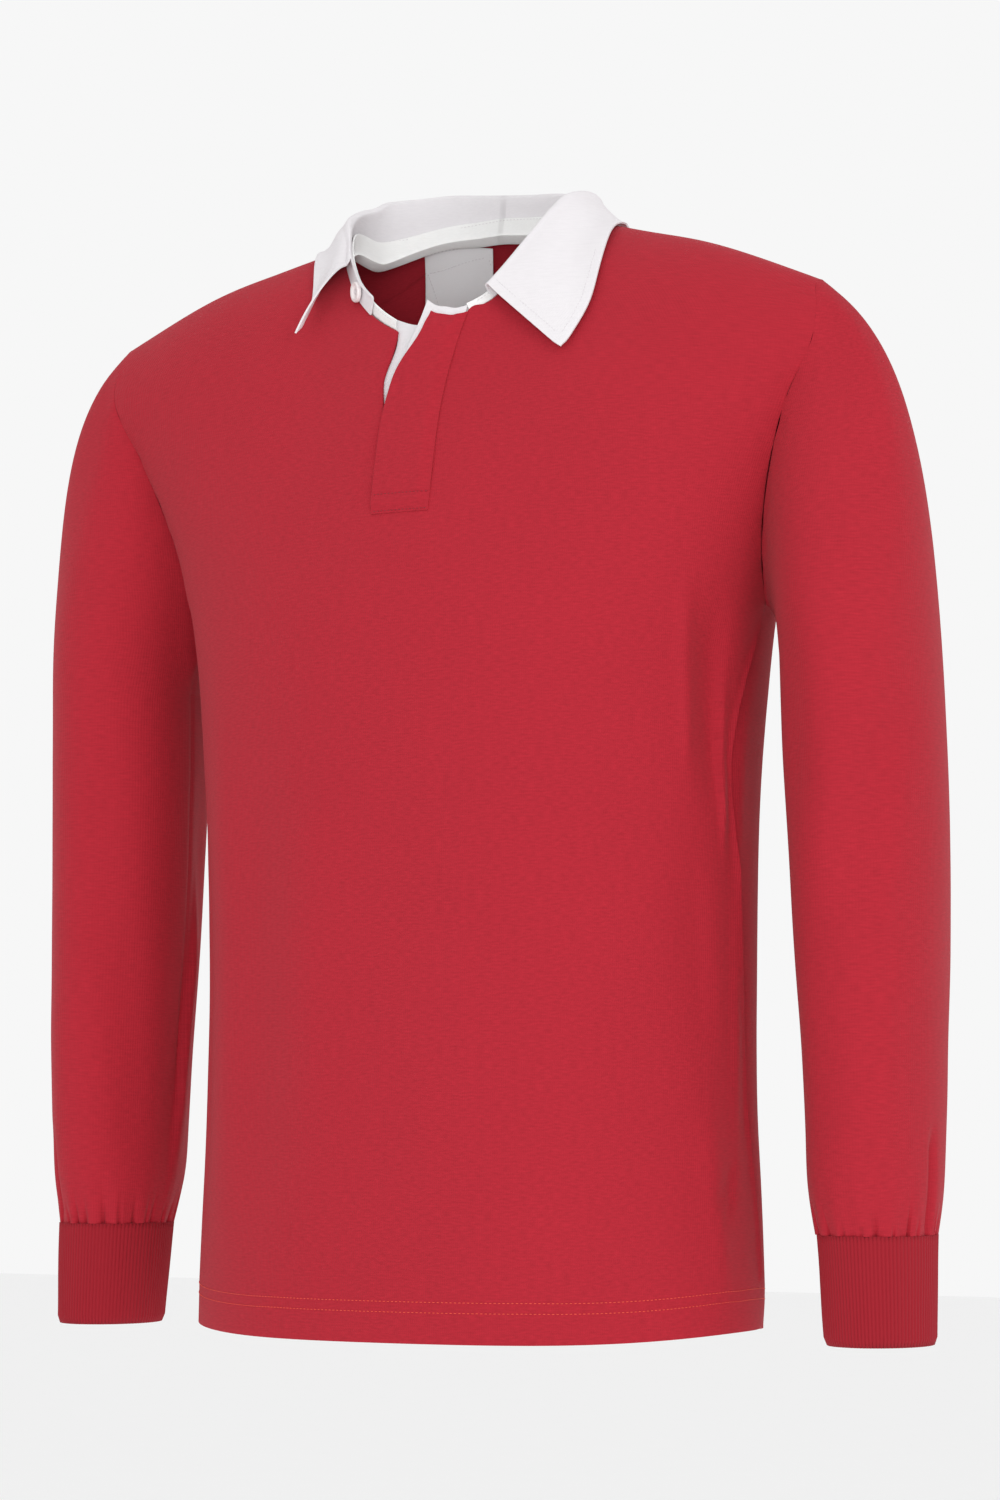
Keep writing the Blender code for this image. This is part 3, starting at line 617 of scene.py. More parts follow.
JERSEY_RIM = 0.45 * MM  # how far a cut edge of jersey is rounded
LAPPED_SEAM = (-1.5 * MM, 2.0 * MM)  # depth and reach of the front's side seams, which stand up
TUCKED_SEAM = (2.8 * MM, 9 * MM)     # and of the back's, which are drawn in
TORSO_DRAPE = Drape(size=90, depth=0.9, fade_low=-200, fade_high=-90, seam_low=-690, seam_high=-75)
BODY_FOLDS = [
    #    around level  to_around to_level width depth lean
    Fold(64, -240, 70, -400, 16, 6.0, 1.0),
    Fold(69.5, -280, 73.5, -430, 7, -4.2, 0.35),
    Fold(56, -230, 60, -380, 6, -2.8, 1.0),
    Fold(80, -612, 66, -648, 5, 2.2, 1.0),
    Fold(78, -628, 70, -656, 4, 1.8, 1.0),
    Fold(82, -300, 80, -640, 9, -2.5, 1.0),
    Fold(60, -400, 66, -560, 16, 3.4, 2.0),
    Fold(66, -560, 72, -715, 14, -2.5, 1.0),
    Fold(40, -300, 52, -700, 30, 2.1, 1.0),
    Fold(20, -240, 30, -690, 26, -1.7, 1.0),
    Fold(-6, -330, -2, -700, 30, 1.7, 1.0),
    Fold(-30, -280, -28, -715, 22, 2.8, 1.0),
    Fold(-46, -250, -42, -710, 18, -2.5, 1.0),
    Fold(-62, -300, -56, -715, 16, 2.9, 1.0),
    Fold(-76, -262, -72, -420, 12, 4.2, 1.0),
    Fold(118, -250, 132, -420, 18, 4.6, 1.0),
    Fold(140, -300, 146, -700, 26, 2.8, 1.0),
    Fold(166, -420, 170, -715, 28, -2.5, 1.0),
    Fold(188, -330, 184, -700, 26, 2.5, 1.0),
    Fold(212, -300, 216, -715, 24, -2.5, 1.0),
    Fold(236, -250, 224, -430, 18, 4.6, 1.0),
    Fold(244, -420, 246, -700, 22, 2.1, 1.0),
]


def torso_turn(point):
    """Angle round the torso, 0 at the middle of the front and 90 degrees on the wearer's left side."""
    turn = math.atan2(point.x / WAIST_HALF_WIDTH, -point.y / WAIST_HALF_DEPTH)
    return turn if turn > -math.pi / 2 else turn + math.tau


def torso_outwards(point):
    way = Vector((point.x / WAIST_HALF_WIDTH ** 2, point.y / WAIST_HALF_DEPTH ** 2, 0))
    return way.normalized() if way.length else Vector((0, -1, 0))


def girth_table():
    """Distance along the torso's round for each degree of turn."""
    steps = [(WAIST_HALF_WIDTH * math.sin(t), WAIST_HALF_DEPTH * math.cos(t))
             for t in np.radians(TURNS)]
    lengths = [math.dist(a, b) for a, b in zip(steps, steps[1:])]
    return np.concatenate([[0], np.cumsum(lengths)])


GIRTH = girth_table()
SHOULDER_RISE = (-160 * MM, -50 * MM)  # the cloth turns over the shoulders between these levels
SHOULDER_DEPTH = 100 * MM


def torso_place(point):
    """Distances round and along the torso's cloth, over the shoulders too."""
    turn = math.degrees(torso_turn(point))
    over = smooth_step(*SHOULDER_RISE, point.z)
    return (float(np.interp(turn, TURNS, GIRTH)),
            point.z + over * (SHOULDER_DEPTH - abs(point.y)))


HEM_CORNERS = [
    Push(207, 22, -726, 20, -6, 0, 3),
    Push(-207, 22, -726, 20, 6, 0, 3),
]
FRONT_PUSHES = [
    *HEM_CORNERS,
    Push(-19.6, -98, -106, 24, -6.0, 0, 0),
    Push(-19.6, -108, -140, 20, -2.5, 0, 0),
]


def fold_torso(cloth, pushes, seam):
    """Presses the folds into the torso."""
    points = cloth_points(cloth)
    turns = np.degrees([torso_turn(vert.co) for vert in cloth.verts])
    outwards = np.array([torso_outwards(vert.co) for vert in cloth.verts])
    depth = drape_depths(cloth, points, TORSO_DRAPE, BODY_FOLDS, turns, TORSO_RADIUS, seam)
    place_points(cloth, pushed(points - outwards * depth[:, None], pushes))


def build_panels():
    for node, levels, pushes, seam in (
            ("front", 3, FRONT_PUSHES, LAPPED_SEAM), ("back", 2, HEM_CORNERS, TUCKED_SEAM)):
        cloth = shell(node, levels)
        fold_torso(cloth, pushes, seam)
        piece = dress(node, cloth, JERSEY_RIM, torso_place, jersey_material(), "jersey")


# ---------------------------------------------------------------- sleeves

SLEEVE_FOLDS = {
    "left": [
        #    around level to_around to_level width depth lean
        Fold(52, -310, 88, -480, 11, 6.0, 1.5),
        Fold(38, -330, 70, -500, 9, -2.4, 1.0),
        Fold(112, -250, 118, -420, 12, 4.1, 1.0),
        Fold(96, -420, 100, -640, 11, 2.5, 1.0),
        Fold(60, -480, 66, -640, 10, -2.1, 1.0),
        Fold(14, -585, 13, -666, 2.6, 4.7, 1.8),
    ],
    "right": [
        Fold(60, -585, 62, -666, 2.6, 4.7, 1.8),
        Fold(100, -300, 112, -560, 13, 3.0, 1.0),
        Fold(198, -400, 177, -662, 13, -6.0, 0.22),
        Fold(120, -430, 128, -650, 12, 3.0, 1.0),
        Fold(70, -480, 72, -640, 12, -2.1, 1.0),
    ],
}
FAR_FOLDS = [  # behind and towards the body, on both sleeves
    Fold(200, -300, 215, -620, 12, 3.6, 1.0),
    Fold(250, -260, 262, -600, 12, 3.0, 1.0),
    Fold(300, -320, 305, -560, 14, -2.5, 1.0),
]
UNDERARM_SEAM = Fold(180, -200, 180, -700, 1.6, 1.1)
SLEEVE_DRAPE = Drape(size=70, depth=0.7, fade_low=-230, fade_high=-130, seam_low=-320, seam_high=-30)
SLEEVE_SEAM = (0.5 * MM, 2.6 * MM)  # depth and reach
SLEEVE_RADIUS = 38 * MM
AXIS_LEVELS = np.arange(-0.66, -0.05, 0.02)
AXIS_SLICE = 12 * MM    # points this near to a level give the sleeve's middle there
CUFF_SEAM = -658 * MM
FINE_SLEEVE = 22 * MM   # above the cuff's seam the cloth is divided once more, for the gathers
GATHERS = 26
GATHER_LENGTH = (19, 20)    # mean and spread, in mm
GATHER_WIDTH = (1.1, 0.5)
GATHER_DEPTH = (2.5, 2.2)
GATHER_FADE = 0.6           # share of its length over which a gather fades


class Gather(NamedTuple):
    """A small pleat where the sleeve is drawn into the cuff: its place in degrees, its sizes in mm."""
    around: float
    length: float
    width: float
    depth: float


def gathers(side):
    """Uneven pleats all round the cuff."""
    made = []
    for index in range(GATHERS):
        seed = Vector((index * 1.7, 3.1 if side == "left" else 8.3, 0))
        around = 360 / GATHERS * (index + 0.6 * noise.noise(seed))
        sizes = [mean + spread * noise.noise(seed * stretch) for (mean, spread), stretch in (
            (GATHER_LENGTH, 2.3), (GATHER_WIDTH, 3.1), (GATHER_DEPTH, 4.7))]
        made.append(Gather(around, *sizes))
    return made


def sleeve_axis(cloth):
    """Middle of the sleeve at each level, from the shell's own points."""
    points = cloth_points(cloth)
    middles = []
    for level in AXIS_LEVELS:
        near = points[np.abs(points[:, 2] - level) < AXIS_SLICE]
        middles.append((near[:, :2].min(0) + near[:, :2].max(0)) / 2)
    return AXIS_LEVELS, np.array(middles)


def around_sleeve(point, axis, sign):
    """Angle round a sleeve: 0 away from the body, 90 to the front, 180 towards the body."""
    levels, middles = axis
    x = float(np.interp(point.z, levels, middles[:, 0]))
    y = float(np.interp(point.z, levels, middles[:, 1]))
    out = Vector((point.x - x, point.y - y, 0))
    turn = math.atan2(-out.y, out.x * sign)
    return turn if turn > -math.pi / 2 else turn + math.tau, out.normalized()


def fold_sleeve(cloth, side, sign):
    """Presses the folds, the underarm seam and the cuff's pleats into a sleeve."""
    axis = sleeve_axis(cloth)
    points = cloth_points(cloth)
    looks = [around_sleeve(vert.co, axis, sign) for vert in cloth.verts]
    turns = np.degrees([turn for turn, _ in looks])
    outwards = np.array([out for _, out in looks])
    folds = (*SLEEVE_FOLDS[side], *FAR_FOLDS, UNDERARM_SEAM)
    depth = drape_depths(cloth, points, SLEEVE_DRAPE, folds, turns, SLEEVE_RADIUS, SLEEVE_SEAM)
    up = points[:, 2] - CUFF_SEAM
    for pleat in gathers(side):
        off = np.radians((turns - pleat.around + 180) % 360 - 180) * SLEEVE_RADIUS
        fade = np.exp(-(up / (pleat.length * MM * GATHER_FADE)) ** 2)
        depth += pleat.depth * MM * fade * np.exp(-(off / (pleat.width * MM)) ** 2)
    place_points(cloth, points - outwards * depth[:, None])
    return axis


def sleeve_place(axis, sign):
    """Gives the distances round and along a sleeve's cloth."""
    def place(point):
        turn, _ = around_sleeve(point, axis, sign)
        return turn * SLEEVE_RADIUS, point.z
    return place


def build_sleeves():
    for side, sign in (("left", 1), ("right", -1)):
        node = f"sleeve_{side}"
        cloth = shell(node, 3)
        low = [edge for edge in cloth.edges
               if all(vert.co.z < CUFF_SEAM + FINE_SLEEVE for vert in edge.verts)]
        bmesh.ops.subdivide_edges(cloth, edges=low, cuts=1, use_grid_fill=True)
        axis = fold_sleeve(cloth, side, sign)
        place = sleeve_place(axis, sign)
        piece = dress(node, cloth, JERSEY_RIM, place, jersey_material(), "jersey")


# ---------------------------------------------------------------- cuffs

CUFF_ROWS = 14
RIB_POINTS = 6          # round one rib
CUFF_GIRTH = 240 * MM   # sizes of the flat cuff, for its map
CUFF_DEPTH = 70 * MM
CUFF_WALL = 1.8 * MM
CUFF_END = 2 * MM       # points this near to a cuff's end belong to its edge
WAVER = 0.4 * MM        # unevenness of the ribs
CURL = 1.6 * MM         # how far the lower edge curls in
CURL_SHARE = 0.06       # and over which share of the depth


def ring_of(node, top):
    """Middle, half sizes and level of a cuff's outer edge, at its top or bottom."""
    low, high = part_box(node)
    level = high.z if top else low.z
    points = np.array([vert.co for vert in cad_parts[node].data.vertices])
    ring = points[np.abs(points[:, 2] - level) < CUFF_END]
    small, large = ring.min(0), ring.max(0)
    return (small + large) / 2, (large - small) / 2, level


def cuff_point(turn, down, ends, sign):
    """Point of a ribbed cuff. Down runs from 0 at its top to 1 at its lower edge."""
    sewing = settings().sewing
    middle, half, level = (top * (1 - down) + bottom * down for top, bottom in zip(*ends))
    groove = 1 - abs(math.cos(turn * sewing.ribs / 2)) ** 0.7
    curl = 1 - math.sqrt(max(1 - max((down - (1 - CURL_SHARE)) / CURL_SHARE, 0.0) ** 2, 0.0))
    waver = WAVER * noise.noise(Vector((math.cos(turn) * 2, math.sin(turn) * 2, down * 2)))
    inset = groove * sewing.rib_relief + curl * CURL - waver
    return Vector((
        middle[0] + math.cos(turn) * (half[0] - inset) * sign,
        middle[1] - math.sin(turn) * (half[1] - inset),
        level))


def build_cuffs():
    for side, sign in (("left", 1), ("right", -1)):
        node = f"cuff_{side}"
        ends = (ring_of(node, True), ring_of(node, False))
        cloth = bmesh.new()
        bmesh.ops.create_grid(
            cloth, x_segments=settings().sewing.ribs * RIB_POINTS, y_segments=CUFF_ROWS, size=0.5)
        layer = cloth.loops.layers.uv.new("cloth")
        for face in cloth.faces:
            for loop in face.loops:
                spot = loop.vert.co
                loop[layer].uv = ((spot.x + 0.5) * CUFF_GIRTH, spot.y * CUFF_DEPTH)
        for vert in cloth.verts:
            vert.co = cuff_point((vert.co.x + 0.5) * math.tau, vert.co.y + 0.5, ends, sign)
        bmesh.ops.remove_doubles(cloth, verts=cloth.verts[:], dist=WELD)
        bmesh.ops.recalc_face_normals(cloth, faces=cloth.faces[:])
        middle = Vector(ends[0][0])
        if sum(face.normal.dot(face.calc_center_median() - middle) for face in cloth.faces) < 0:
            bmesh.ops.reverse_faces(cloth, faces=cloth.faces[:])
        piece = object_from(f"{node}_cloth", cloth, rib_material())
        wall = piece.modifiers.new("Solidify", "SOLIDIFY")
        wall.thickness = CUFF_WALL
        wall.offset = -1
        finish_piece(piece, "rib_knit", node)


# ---------------------------------------------------------------- front opening

TWILL_RIM = 0.35 * MM                      # how far the cut edges here are rounded
PLACKET_ROWS = (-185.5 * MM, -196.4 * MM)  # levels of the two rows that close its lower end
PLACKET_SPAN = (-19.5 * MM, 19.6 * MM)     # between its sides
ROW_DEPTH = 0.5 * MM                       # a row draws the cloth in
ROW_WIDTH = 0.9 * MM
SEWN_SIDE = 8 * MM                         # the placket's sewn side lies beyond this
SEWN_END = -197 * MM                       # and its sewn end below this
PLACKET_SINK = 1.8 * MM
SINK_REACH = (1 * MM, 9 * MM)              # from the sewn edge
UNDERLAY_PUSHES = [
    Push(-19, -98, -106, 24, -8.0, 0, 0),
    Push(-19, -108, -140, 20, -3.5, 0, 0),
    Push(-19, -76, -68, 10, -5.0, -0.5, 2.5),
]


def flat_place(point):
    """Distances across and along a flat piece."""
    return point.x, point.z


def facing_way(points):
    """The way in which a nearly flat piece faces, towards the front."""
    way = np.linalg.svd(points - points.mean(0), full_matrices=False)[2][2]
    return way * -np.sign(way[1])


def lay_flush(cloth, sink):
    """Sinks a strip's sewn side and end into the cloth that carries it; its free edge stays up."""
    points = cloth_points(cloth)
    sewn = KDTree(len(cloth.verts))
    for edge in sharp_edges(cloth):
        for vert in edge.verts:
            if vert.co.x > SEWN_SIDE and vert.normal.x > 0.2 or vert.co.z < SEWN_END:
                sewn.insert(vert.co, vert.index)
    sewn.balance()
    away = np.array([sewn.find(point)[2] for point in points])
    share = 1 - smooth_steps(*SINK_REACH, away)
    place_points(cloth, points - facing_way(points) * (sink * share)[:, None])


def build_placket():
    cloth = shell("placket", 3, 0.0)
    lay_flush(cloth, PLACKET_SINK)
    points = cloth_points(cloth)
    for level in PLACKET_ROWS:
        points[:, 1] += ROW_DEPTH * np.exp(-((points[:, 2] - level) / ROW_WIDTH) ** 2)
    place_points(cloth, points)
    piece = dress("placket", cloth, TWILL_RIM, flat_place, jersey_material(), "jersey")
    for node, flat, pushes in (
            ("placket_facing", (0.042, 0.130), []),
            ("underlay", (0.038, 0.135), UNDERLAY_PUSHES)):
        cloth = shell(node, 2, 0.0)
        place_points(cloth, pushed(cloth_points(cloth), pushes))
        piece = dress(node, cloth, TWILL_RIM, flat_place, twill_material(), "white_twill")


# ---------------------------------------------------------------- collar and neck

NECK_RADIUS = 75 * MM
LEAF_SIDE = 20 * MM             # a leaf's point lies further than this from the middle
TIP_REACH = 4.5 * MM
TIP_CUT = 1.8 * MM
TRIM_RIM = 0.3 * MM             # how far the cut edges of tape and label are rounded
TAPE_SMOOTHINGS = 5
TAPE_UPRIGHT = 0.8              # share of its flare that the tape loses at the back
BACK_OF_NECK = (-45 * MM, -5 * MM)  # the share comes in between these depths
NECK_STEP = 12                  # degrees round the neck
FEWEST_POINTS = 12              # that a step needs
TAPE_PUSHES = [
    Push(-82, -4, -6, 30, 2.0, 0, -10),
    Push(-52, 44, -2, 30, 1.5, -2.0, 6),
    Push(20, 62, 4, 34, 0, -1.0, -4),
]
LABEL_TURN = math.radians(-16)
LABEL_HANG = 25 * MM            # it turns about a place this far over its middle
LABEL_RISE = 8 * MM
LABEL_LEVELS = (-58 * MM, -8 * MM)  # the rise comes in between these levels
LABEL_FORWARD = 0.8             # and moves the label forwards by this share of it


def neck_place(point):
    """Distances round and up the neck."""
    return math.atan2(point.x, -point.y) * NECK_RADIUS, point.z


def blunt_tips(cloth):
    """Rounds off the points of the two leaves."""
    points = cloth_points(cloth)
    for side in (-1, 1):
        leaf = points[points[:, 0] * side > LEAF_SIDE]
        tip = leaf[leaf[:, 2].argmin()]
        away = np.linalg.norm(points - tip, axis=1)
        inwards = points[away < 2 * TIP_REACH].mean(0) - tip
        inwards *= TIP_CUT / np.linalg.norm(inwards)
        points = points + np.exp(-(away / TIP_REACH) ** 2)[:, None] * inwards
    place_points(cloth, points)


def build_collar():
    cloth = shell("collar", 2, 0.0)
    blunt_tips(cloth)
    piece = dress("collar", cloth, TWILL_RIM, neck_place, twill_material(), "white_twill")


def soften(cloth, rounds):
    """Evens out the bends of a strip, away from its cut edges."""
    edge = {vert for edge in sharp_edges(cloth) for vert in edge.verts}
    free = [vert for vert in cloth.verts if vert not in edge]
    for _ in range(rounds):
        bmesh.ops.smooth_vert(
            cloth, verts=free, factor=0.5, use_axis_x=True, use_axis_y=True, use_axis_z=True)


def hang_upright(cloth, share):
    """Takes part of the outward flare off a band at the back of the neck, so that it hangs straighter."""
    points = cloth_points(cloth)
    out = points[:, :2] - np.array([0, 0.5 * (points[:, 1].min() + points[:, 1].max())])
    reach = np.linalg.norm(out, axis=1)
    turns = np.degrees(np.arctan2(out[:, 0], out[:, 1]))
    middles, tops, flares = [], [], []
    for low in range(-180, 180, NECK_STEP):
        near = (turns >= low) & (turns < low + NECK_STEP)
        if near.sum() < FEWEST_POINTS:
            continue
        level = points[near, 2]
        high, deep = level > np.quantile(level, 0.75), level < np.quantile(level, 0.25)
        drop = level[high].mean() - level[deep].mean()
        middles.append(low + NECK_STEP / 2)
        tops.append(level[high].mean())
        flares.append((reach[near][deep].mean() - reach[near][high].mean()) / drop)
    drop = np.maximum(np.interp(turns, middles, tops) - points[:, 2], 0)
    share = share * smooth_steps(*BACK_OF_NECK, points[:, 1])
    inwards = share * np.interp(turns, middles, flares) * drop
    points[:, :2] -= out / reach[:, None] * inwards[:, None]
    place_points(cloth, points)


def hang_label(cloth):
    """Raises the label's upper part, and turns the whole as it hangs."""
    points = cloth_points(cloth)
    rise = LABEL_RISE * smooth_steps(*LABEL_LEVELS, points[:, 2])
    points[:, 2] += rise
    points[:, 1] -= LABEL_FORWARD * rise
    turn = np.array(Matrix.Rotation(LABEL_TURN, 3, Vector(facing_way(points))))
    top = points.mean(0) + np.array([0, 0, LABEL_HANG])
    place_points(cloth, (points - top) @ turn.T + top)


def build_neck_trim():
    tape = shell("neck_tape", 2, 0.0)
    soften(tape, TAPE_SMOOTHINGS)
    hang_upright(tape, TAPE_UPRIGHT)
    place_points(tape, pushed(cloth_points(tape), TAPE_PUSHES))
    piece = dress("neck_tape", tape, TRIM_RIM, neck_place, tape_material(), "tape")
    label = shell("neck_label", 2, 0.0)
    hang_label(label)
    piece = dress("neck_label", label, TRIM_RIM, flat_place, label_material(), "label")


# ---------------------------------------------------------------- button

BUTTON_PROFILE = (  # from the middle of the face round to the back: shares of radius and half thickness
    (0, 0.25), (0.58, 0.25), (0.70, 0.95), (0.90, 1), (1, 0.35), (0.97, -0.5), (0.7, -1), (0, -1))
BUTTON_STEPS = 40
BUTTON_HOLES = 4
BUTTON_HOLE_RADIUS = 0.9 * MM
BUTTON_HOLE_PITCH = 1.6 * MM  # from the button's middle
THREAD_BARS = 2               # the bars cross
THREAD_BAR = (BUTTON_HOLE_PITCH * 1.15, 0.4 * MM, 0.4 * MM, 1)
THREAD_BAR_LEVEL = 0.35       # share of the half thickness


def button_frame():
    """Middle, axis, radius and thickness of the button's solid."""
    points = np.array([vert.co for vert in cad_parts["button"].data.vertices])
    middle = (points.min(0) + points.max(0)) / 2
    spread = np.linalg.svd(points - points.mean(0), full_matrices=False)
    axis = spread[2][2]
    if axis[1] > 0:
        axis = -axis
    along = (points - middle) @ axis
    away = np.linalg.norm(points - middle - np.outer(along, axis), axis=1)
    return Vector(middle), Vector(axis), float(away.max()), float(along.max() - along.min())


def build_button():
    middle, axis, radius, thick = button_frame()
    half = thick / 2
    disc = bmesh.new()
    verts = [disc.verts.new((radius * out, 0, half * up)) for out, up in BUTTON_PROFILE]
    edges = [disc.edges.new(pair) for pair in zip(verts, verts[1:])]
    bmesh.ops.spin(disc, geom=verts + edges, cent=(0, 0, 0), axis=(0, 0, 1), angle=math.tau,
                   steps=BUTTON_STEPS, use_merge=True)
    bmesh.ops.remove_doubles(disc, verts=disc.verts[:], dist=WELD)
    bmesh.ops.recalc_face_normals(disc, faces=disc.faces[:])
    turn = axis.to_track_quat("Z", "X").to_matrix().to_4x4()
    place = Matrix.Translation(middle) @ turn
    drills = bmesh.new()
    for index in range(BUTTON_HOLES):
        spin = Matrix.Rotation(math.tau * index / BUTTON_HOLES, 4, "Z")
        bmesh.ops.create_cone(
            drills, cap_ends=True, segments=12, radius1=BUTTON_HOLE_RADIUS, radius2=BUTTON_HOLE_RADIUS,
            depth=thick * 2, matrix=spin @ Matrix.Translation((BUTTON_HOLE_PITCH, 0, 0)))
    drill = object_from("drill", drills, None)
    blank = object_from("blank", disc, None)
    cut = blank.modifiers.new("Holes", "BOOLEAN")
    cut.object = drill
    drilled = bmesh.new()
    drilled.from_mesh(evaluated_mesh(blank))
    bpy.data.objects.remove(drill)
    bpy.data.objects.remove(blank)
    bmesh.ops.transform(drilled, matrix=place, verts=drilled.verts[:])
    piece = object_from("button_disc", drilled, button_material())
    piece.data.set_sharp_from_angle(angle=math.radians(50))
    finish_piece(piece, "button", "button")
    thread = bmesh.new()
    for index in range(THREAD_BARS):
        bar = Matrix.Rotation(math.pi * index / THREAD_BARS, 4, "Z")
        level = Matrix.Translation((0, 0, half * THREAD_BAR_LEVEL))
        bmesh.ops.create_uvsphere(
            thread, u_segments=8, v_segments=6, radius=1,
            matrix=place @ bar @ level @ Matrix.Diagonal(THREAD_BAR))
    finish_piece(object_from("button_thread", thread, thread_material("white_thread")), "white_twill")


# ---------------------------------------------------------------- stitching

STITCH_RANGE = (0.5 * MM, 6 * MM)  # two places nearer or further apart get no stitch
STITCH_SHARE = 0.66        # of the way to the next place
STITCH_PROUD = 0.3         # share of the thread's thickness
HEM_ZONE = -712 * MM       # the hem's edge lies below this
HEM_STEP = 6               # degrees from one reading of the hem's height to the next
HEM_REACH = 5              # degrees to each side that a reading takes in
EDGE_PARTS = 8             # into which a solid's edge is divided
ROW_BREAK = 3 * MM         # a longer leap starts a new row


def surface_of(*names):
    """Tree for finding places on finished pieces."""
    verts, faces = [], []
    for name in names:
        mesh = bpy.data.objects[name].data
        first = len(verts)
        verts += [vert.co for vert in mesh.vertices]
        faces += [[first + index for index in poly.vertices] for poly in mesh.polygons]
    return BVHTree.FromPolygons(verts, faces)


def stitch_shape():
    """One stitch, a unit long, wide and high: its points and faces."""
    stitch = bmesh.new()
    bmesh.ops.create_uvsphere(stitch, u_segments=6, v_segments=4, radius=0.5)
    bmesh.ops.rotate(stitch, verts=stitch.verts[:], matrix=Matrix.Rotation(math.pi / 2, 3, "Y"))
    stitch.verts.index_update()
    points = np.array([vert.co for vert in stitch.verts])
    faces = [[vert.index for vert in face.verts] for face in stitch.faces]
    stitch.free()
    return points, faces


def sew(name, rows, material, slot, thread):
    """Stitches along rows of (place, outward way) pairs, as one joined mesh."""
    shape, shape_faces = stitch_shape()
    shortest, longest = STITCH_RANGE
    points, faces = [], []
    for row in rows:
        for (start, out), (end, _) in zip(row, row[1:]):
            run = end - start
            if not shortest < run.length < longest:
                continue
            across = out.cross(run).normalized()
            up = run.cross(across).normalized()
            turn = np.array([run * STITCH_SHARE, across * thread, up * thread])
            first = len(points) * len(shape)
            points.append(shape @ turn + np.array((start + end) / 2 + out * thread * STITCH_PROUD))
            faces += [[first + index for index in face] for face in shape_faces]
    mesh = bpy.data.meshes.new(name)
    mesh.from_pydata(np.concatenate(points), [], faces)
    mesh.shade_smooth()
    mesh.materials.append(material)
    piece = bpy.data.objects.new(name, mesh)
    bpy.context.scene.collection.objects.link(piece)
    return finish_piece(piece, slot)


def hem_line():
    """Height of the hem's edge at each degree of turn."""
    turns, levels = [], []
    for node in ("front", "back"):
        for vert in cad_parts[node].data.vertices:
            if vert.co.z < HEM_ZONE:
                turns.append(math.degrees(torso_turn(vert.co)))
                levels.append(vert.co.z)
    bins = np.arange(-90, 271, HEM_STEP)
    turns, levels = np.array(turns), np.array(levels)
    lows = [levels[np.abs((turns - turn + 180) % 360 - 180) <= HEM_REACH].min() for turn in bins]
    return bins, np.array(lows)


def hem_rows():
    """The hem's twin rows, at even heights over its edge."""
    sewing = settings().sewing
    bins, lows = hem_line()
    surface = surface_of("front_cloth", "back_cloth")
    girth = GIRTH[360] - GIRTH[0]
    count = round(girth / sewing.stitch)
    rows = []
    for up in (sewing.hem_upper, sewing.hem_upper - sewing.hem_gauge):
        row = []
        for index in range(count + 1):
            length = GIRTH[90] + girth * index / count
            turn = float(np.interp(length, GIRTH, TURNS))
            level = float(np.interp(turn, bins, lows)) + up
            angle = math.radians(turn)
            way = Vector((math.sin(angle) * WAIST_HALF_WIDTH, -math.cos(angle) * WAIST_HALF_DEPTH, 0))
            far = Vector((0, 0, level)) + way * 2
            spot, normal, _, _ = surface.ray_cast(far, -way.normalized())
            if spot:
                row.append((spot, normal))
        rows.append(row)
    return rows


def crosses_rim(edge, inwards):
    """Whether an edge runs across the thickness of a wall's cut edge."""
    a, b = edge.verts
    if edge.calc_length() >= RIM_WIDTH or a not in inwards or b not in inwards:
        return False
    same_way = inwards[a].length and inwards[a].normalized().dot(inwards[b].normalized()) > 0.999
    return bool(same_way) and (a.normal - b.normal).length > 0.5


def rim_loops(node):
    """Closed runs of cut-edge points of a solid, each with the way into the cloth."""
    cloth = quads_of(node)
    cloth.normal_update()
    cloth.edges.index_update()
    inwards = {}
    for face in rim_faces(cloth):
        for vert in face.verts:
            inwards.setdefault(vert, Vector())
            inwards[vert] -= face.normal
    sharp = [edge for edge in sharp_edges(cloth) if sum(map(narrow, edge.link_faces)) == 1]
    links = {}
    for edge in sharp:
        if crosses_rim(edge, inwards):
            continue
        for vert, other in (edge.verts, reversed(edge.verts)):
            links.setdefault(vert, []).append(other)
    loops, seen = [], set()
    for start in links:
        if start in seen:
            continue
        run, here, before = [], start, None
        while here is not None and here not in seen:
            seen.add(here)
            run.append((here.co.copy(), inwards.get(here, Vector()).normalized()))
            onward = [vert for vert in links[here] if vert is not before and vert not in seen]
            before, here = here, (onward[0] if onward else None)
        if len(run) > 8:
            loops.append(run + run[:1])
    cloth.free()
    return loops


def edge_rows(node, piece_name, inset, step):
    """Rows of stitches at an even distance inside a piece's cut edge."""
    surface = surface_of(piece_name)
    rows = []
    for loop in rim_loops(node):
        edge = KDTree(len(loop) * EDGE_PARTS)
        dense = []
        for (a, way_a), (b, way_b) in zip(loop, loop[1:]):
            for part in range(EDGE_PARTS):
                share = part / EDGE_PARTS
                dense.append((a.lerp(b, share), way_a.lerp(way_b, share)))
        for index, (point, _) in enumerate(dense):
            edge.insert(point, index)
        edge.balance()
        path = []
        for point, way in dense:
            spot, normal, _, _ = surface.find_nearest(point + way.normalized() * inset)
            if spot and edge.find(spot)[2] > inset * 0.93:
                path.append((spot, normal))
        row, travelled = [], 0.0
        for (a, normal), (b, _) in zip(path, path[1:]):
            length = (b - a).length
            if length > ROW_BREAK:
                rows.append(row)
                row, travelled = [], 0.0
                continue
            while length and travelled <= length:
                row.append((a.lerp(b, travelled / length), normal))
                travelled += step
            travelled -= length
        rows.append(row)
    return rows


